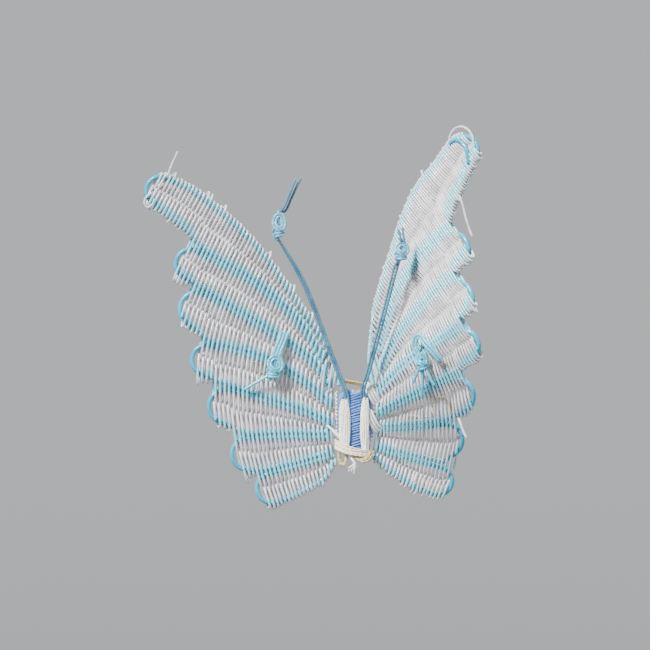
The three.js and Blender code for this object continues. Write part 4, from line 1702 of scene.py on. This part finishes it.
@dataclass(frozen=True)
class Pin:
    """The safety pin, drawn with its fixed arm along X and then tilted down to the right."""

    y: float = 2.6
    coil_at: float = 18.2
    coil_radius: float = 2.1
    coil_pitch: float = 0.8
    coil_turns: float = 1.5
    arm_end: float = -21.5
    tip: float = -21.6
    drop: float = 6.8
    sag: float = 0.35
    set_back: float = 0.15
    cap_left: float = -22.2
    cap_right: float = -17.6
    cap_shoulder: float = 1.2  # from the cap's closed end to where it starts to round in
    cap_low: float = -8.1
    cap_high: float = 0.85
    cap_front: float = 1.75
    cap_back: float = 3.85
    cap_back_low: float = -3.0
    sheet: float = 0.32

    def tilted(self, points: np.ndarray) -> np.ndarray:
        """Turns the pin's own points about the front-to-back axis by its tilt."""
        turn = math.radians(PIN_TILT)
        x, y, z = points[..., 0], points[..., 1], points[..., 2]
        across = x * math.cos(turn) + z * math.sin(turn)
        up = z * math.cos(turn) - x * math.sin(turn)
        return np.stack([across, y, up], axis=-1)

    def coil(self, turn: np.ndarray) -> np.ndarray:
        """Gives the coil: a circle in the pin's plane that moves back by the pitch in each turn."""
        angle = np.pi / 2 - 2 * np.pi * turn
        return np.stack(
            [
                self.coil_at + self.coil_radius * np.cos(angle),
                self.y + self.coil_pitch * turn,
                -self.coil_radius + self.coil_radius * np.sin(angle),
            ],
            axis=1,
        )

    def build(self) -> None:
        """Makes the fixed arm with its coil, the needle with its point, and the cap."""
        arm = np.linspace((self.arm_end, self.y, 0.0), (self.coil_at - 0.4, self.y, 0.0), 40)
        wire = np.vstack([arm, self.coil(np.linspace(0, self.coil_turns, 90))])
        fixed = Skin().tube(self.tilted(wire), WIRE_RADIUS, 12)
        place(fixed, "pin_arm_wire", Kit.BRASS, "body", ["pin_fixed_arm"])
        end = self.coil(np.array([self.coil_turns]))[0]
        share = np.linspace(0, 1, 50)
        needle = np.stack(
            [
                end[0] + (self.tip - end[0]) * share,
                end[1] + (self.y + self.set_back - end[1]) * share,
                end[2] + (-self.drop - end[2]) * share - self.sag * np.sin(np.pi * share),
            ],
            axis=1,
        )
        taper = WIRE_RADIUS * np.minimum(1.0, 0.12 + (1 - share) * 6)
        moving = Skin().tube(self.tilted(needle), taper, 12)
        place(moving, "pin_needle_wire", Kit.BRASS, "pin_needle", ["pin_needle"])
        self.cap()

    def cap(self) -> None:
        """The cap: a strip folded from its short back wall over the top, down the front and round the foot.

        The strip's section is carried along the pin from the open end. Past the shoulder its place goes on by
        the sine of a quarter turn, and it draws in towards its middle by a power of the cosine.
        """
        inset = self.sheet / 2
        front, back = self.cap_front + inset, self.cap_back - inset
        low, high = self.cap_low + inset, self.cap_high - inset
        section = points_of(
            (
                (back, self.cap_back_low),
                (back, (self.cap_back_low + high) / 2),
                (back, high - 0.5),
                (back - 0.25, high - 0.08),
                ((front + back) / 2, high),
                (front + 0.25, high - 0.08),
                (front, high - 0.5),
                (front, high - 2.4),
                (front, (low + high) / 2),
                (front, low + 2.4),
                (front, low + 0.5),
                (front + 0.25, low + 0.08),
                ((front + back) / 2, low),
                (back - 0.1, low + 0.04),
            )
        )
        outline = evenly(smooth(section, 6), 70)
        closing = np.linspace(0.15, np.pi / 2, 9)
        shoulder = self.cap_left + self.cap_shoulder
        straight = np.linspace(self.cap_right, shoulder, 10)
        along = np.concatenate([straight, shoulder - 1.05 * np.sin(closing)])
        draw = np.concatenate([np.ones(len(straight)), np.cos(closing) ** 0.6])
        draw = np.maximum(draw, 0.02)
        centre = np.array([(front + back) / 2, (low + high) / 2])
        ring = centre + (outline - centre)[None] * draw[:, None, None]
        places = np.broadcast_to(along[:, None, None], (len(along), len(outline), 1))
        grid = np.concatenate([places, ring], axis=2)
        piece = Skin().sheet(self.tilted(grid)).build("pin_cap_shell")
        WARDROBE.dress(piece, Kit.BRASS)
        thick = piece.modifiers.new("thickness", "SOLIDIFY")
        thick.thickness = self.sheet * MM
        thick.offset = 0.0
        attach(piece, "body")
        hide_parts("pin_cap")


# ---- Studio -----------------------------------------------------------------------------------


@dataclass(frozen=True)
class Lamp:
    """A soft square light: where it stands, how large it is, how strong and what colour, aimed at the wings."""

    name: str
    at: Place  # metres
    size: float  # metres
    power: float  # watts
    colour: Colour = (1.0, 1.0, 1.0)


@dataclass(frozen=True)
class Studio:
    """The floor that curves up into a wall, the lights and the camera. Its lengths are in metres."""

    aim: Place = (-0.0058, 0.0, 0.0116)
    distance: float = 2.0
    view_width: float = 0.130
    floor_height: float = -0.14
    half_width: float = 16.0
    wall: float = 3.0
    wall_height: float = 4.0
    curve: float = 1.0
    paper: Colour = (0.125, 0.127, 0.130)
    paper_roughness: float = 0.95
    sky: Colour = (0.95, 0.97, 1.0)  # the even light from all round
    sky_strength: float = 0.39
    key_from: Place = (-0.50, -0.525, 0.687)  # towards the key light
    key_power: float = 12.5  # watts per square metre
    key_spread: float = 12.0  # degrees
    lamps: tuple[Lamp, ...] = (
        Lamp("fill_lamp", (0.60, -0.45, 0.10), 0.40, 3.0, (0.93, 0.97, 1.0)),
        Lamp("back_lamp", (0.15, 0.55, 0.55), 0.40, 4.0),
        Lamp("top_lamp", (0.0, 0.10, 1.60), 1.60, 4.0),
    )

    def build(self) -> None:
        """Sets up the floor, the lights, the even light from all round and the camera."""
        self.floor()
        self.key()
        for lamp in self.lamps:
            self.light(lamp)
        world = bpy.data.worlds.new("soft_light")
        world.use_nodes = True
        background = world.node_tree.nodes["Background"]
        background.inputs["Color"].default_value = (*self.sky, 1.0)
        background.inputs["Strength"].default_value = self.sky_strength
        bpy.context.scene.world = world
        self.camera()

    def floor(self) -> None:
        """A wide sheet: flat from behind the camera, then a quarter turn up behind the wings, then a wall."""
        turn = np.linspace(0, math.pi / 2, 24)
        bend_y = self.wall - self.curve + self.curve * np.sin(turn)
        bend_z = self.floor_height + self.curve * (1 - np.cos(turn))
        y = np.concatenate([[-self.half_width], bend_y, [self.wall]])
        z = np.concatenate([[self.floor_height], bend_z, [self.wall_height]])
        x = np.linspace(-self.half_width, self.half_width, 3)
        grid = np.stack(np.broadcast_arrays(x[None, :], y[:, None], z[:, None]), axis=-1)
        floor = Skin().sheet(grid / MM).build("floor")
        material = bpy.data.materials.new("floor_paper")
        material.use_nodes = True
        shader = material.node_tree.nodes["Principled BSDF"]
        shader.inputs["Base Color"].default_value = (*self.paper, 1.0)
        shader.inputs["Roughness"].default_value = self.paper_roughness
        floor.data.materials.append(material)

    def key(self) -> None:
        """Adds the main light: a soft one from far off, as strong on the floor and the wall as on the wings."""
        data = bpy.data.lights.new("key_light", "SUN")
        data.energy = self.key_power
        data.angle = math.radians(self.key_spread)
        made = bpy.data.objects.new("key_light", data)
        made.rotation_euler = Vector(self.key_from).to_track_quat("Z", "Y").to_euler()
        bpy.context.scene.collection.objects.link(made)

    def light(self, lamp: Lamp) -> None:
        """Adds one square light turned towards the middle of the wings."""
        data = bpy.data.lights.new(lamp.name, "AREA")
        data.size = lamp.size
        data.energy = lamp.power
        data.color = lamp.colour
        made = bpy.data.objects.new(lamp.name, data)
        made.location = lamp.at
        towards = np.array(self.aim) - np.array(lamp.at)
        made.rotation_euler = Vector(towards).to_track_quat("-Z", "Y").to_euler()
        bpy.context.scene.collection.objects.link(made)

    def camera(self) -> None:
        """A long lens straight in front, as wide as the view at the wings."""
        data = bpy.data.cameras.new("camera")
        data.sensor_width = 36.0
        data.lens = data.sensor_width * self.distance / self.view_width
        made = bpy.data.objects.new("camera", data)
        made.location = (self.aim[0], self.aim[1] - self.distance, self.aim[2])
        made.rotation_euler = (math.pi / 2, 0.0, 0.0)
        bpy.context.scene.collection.objects.link(made)
        bpy.context.scene.camera = made


def main() -> None:
    """Sets up the studio, then builds the object part by part."""
    logging.basicConfig(level=logging.INFO, format="%(message)s")
    Studio().build()
    for part in (LEFT_WING, RIGHT_WING, Body(), RootThreads(), Pin(), *ANTENNAE, *TIES, *LINE_ENDS):
        part.build()


if __name__ == "__main__":
    main()
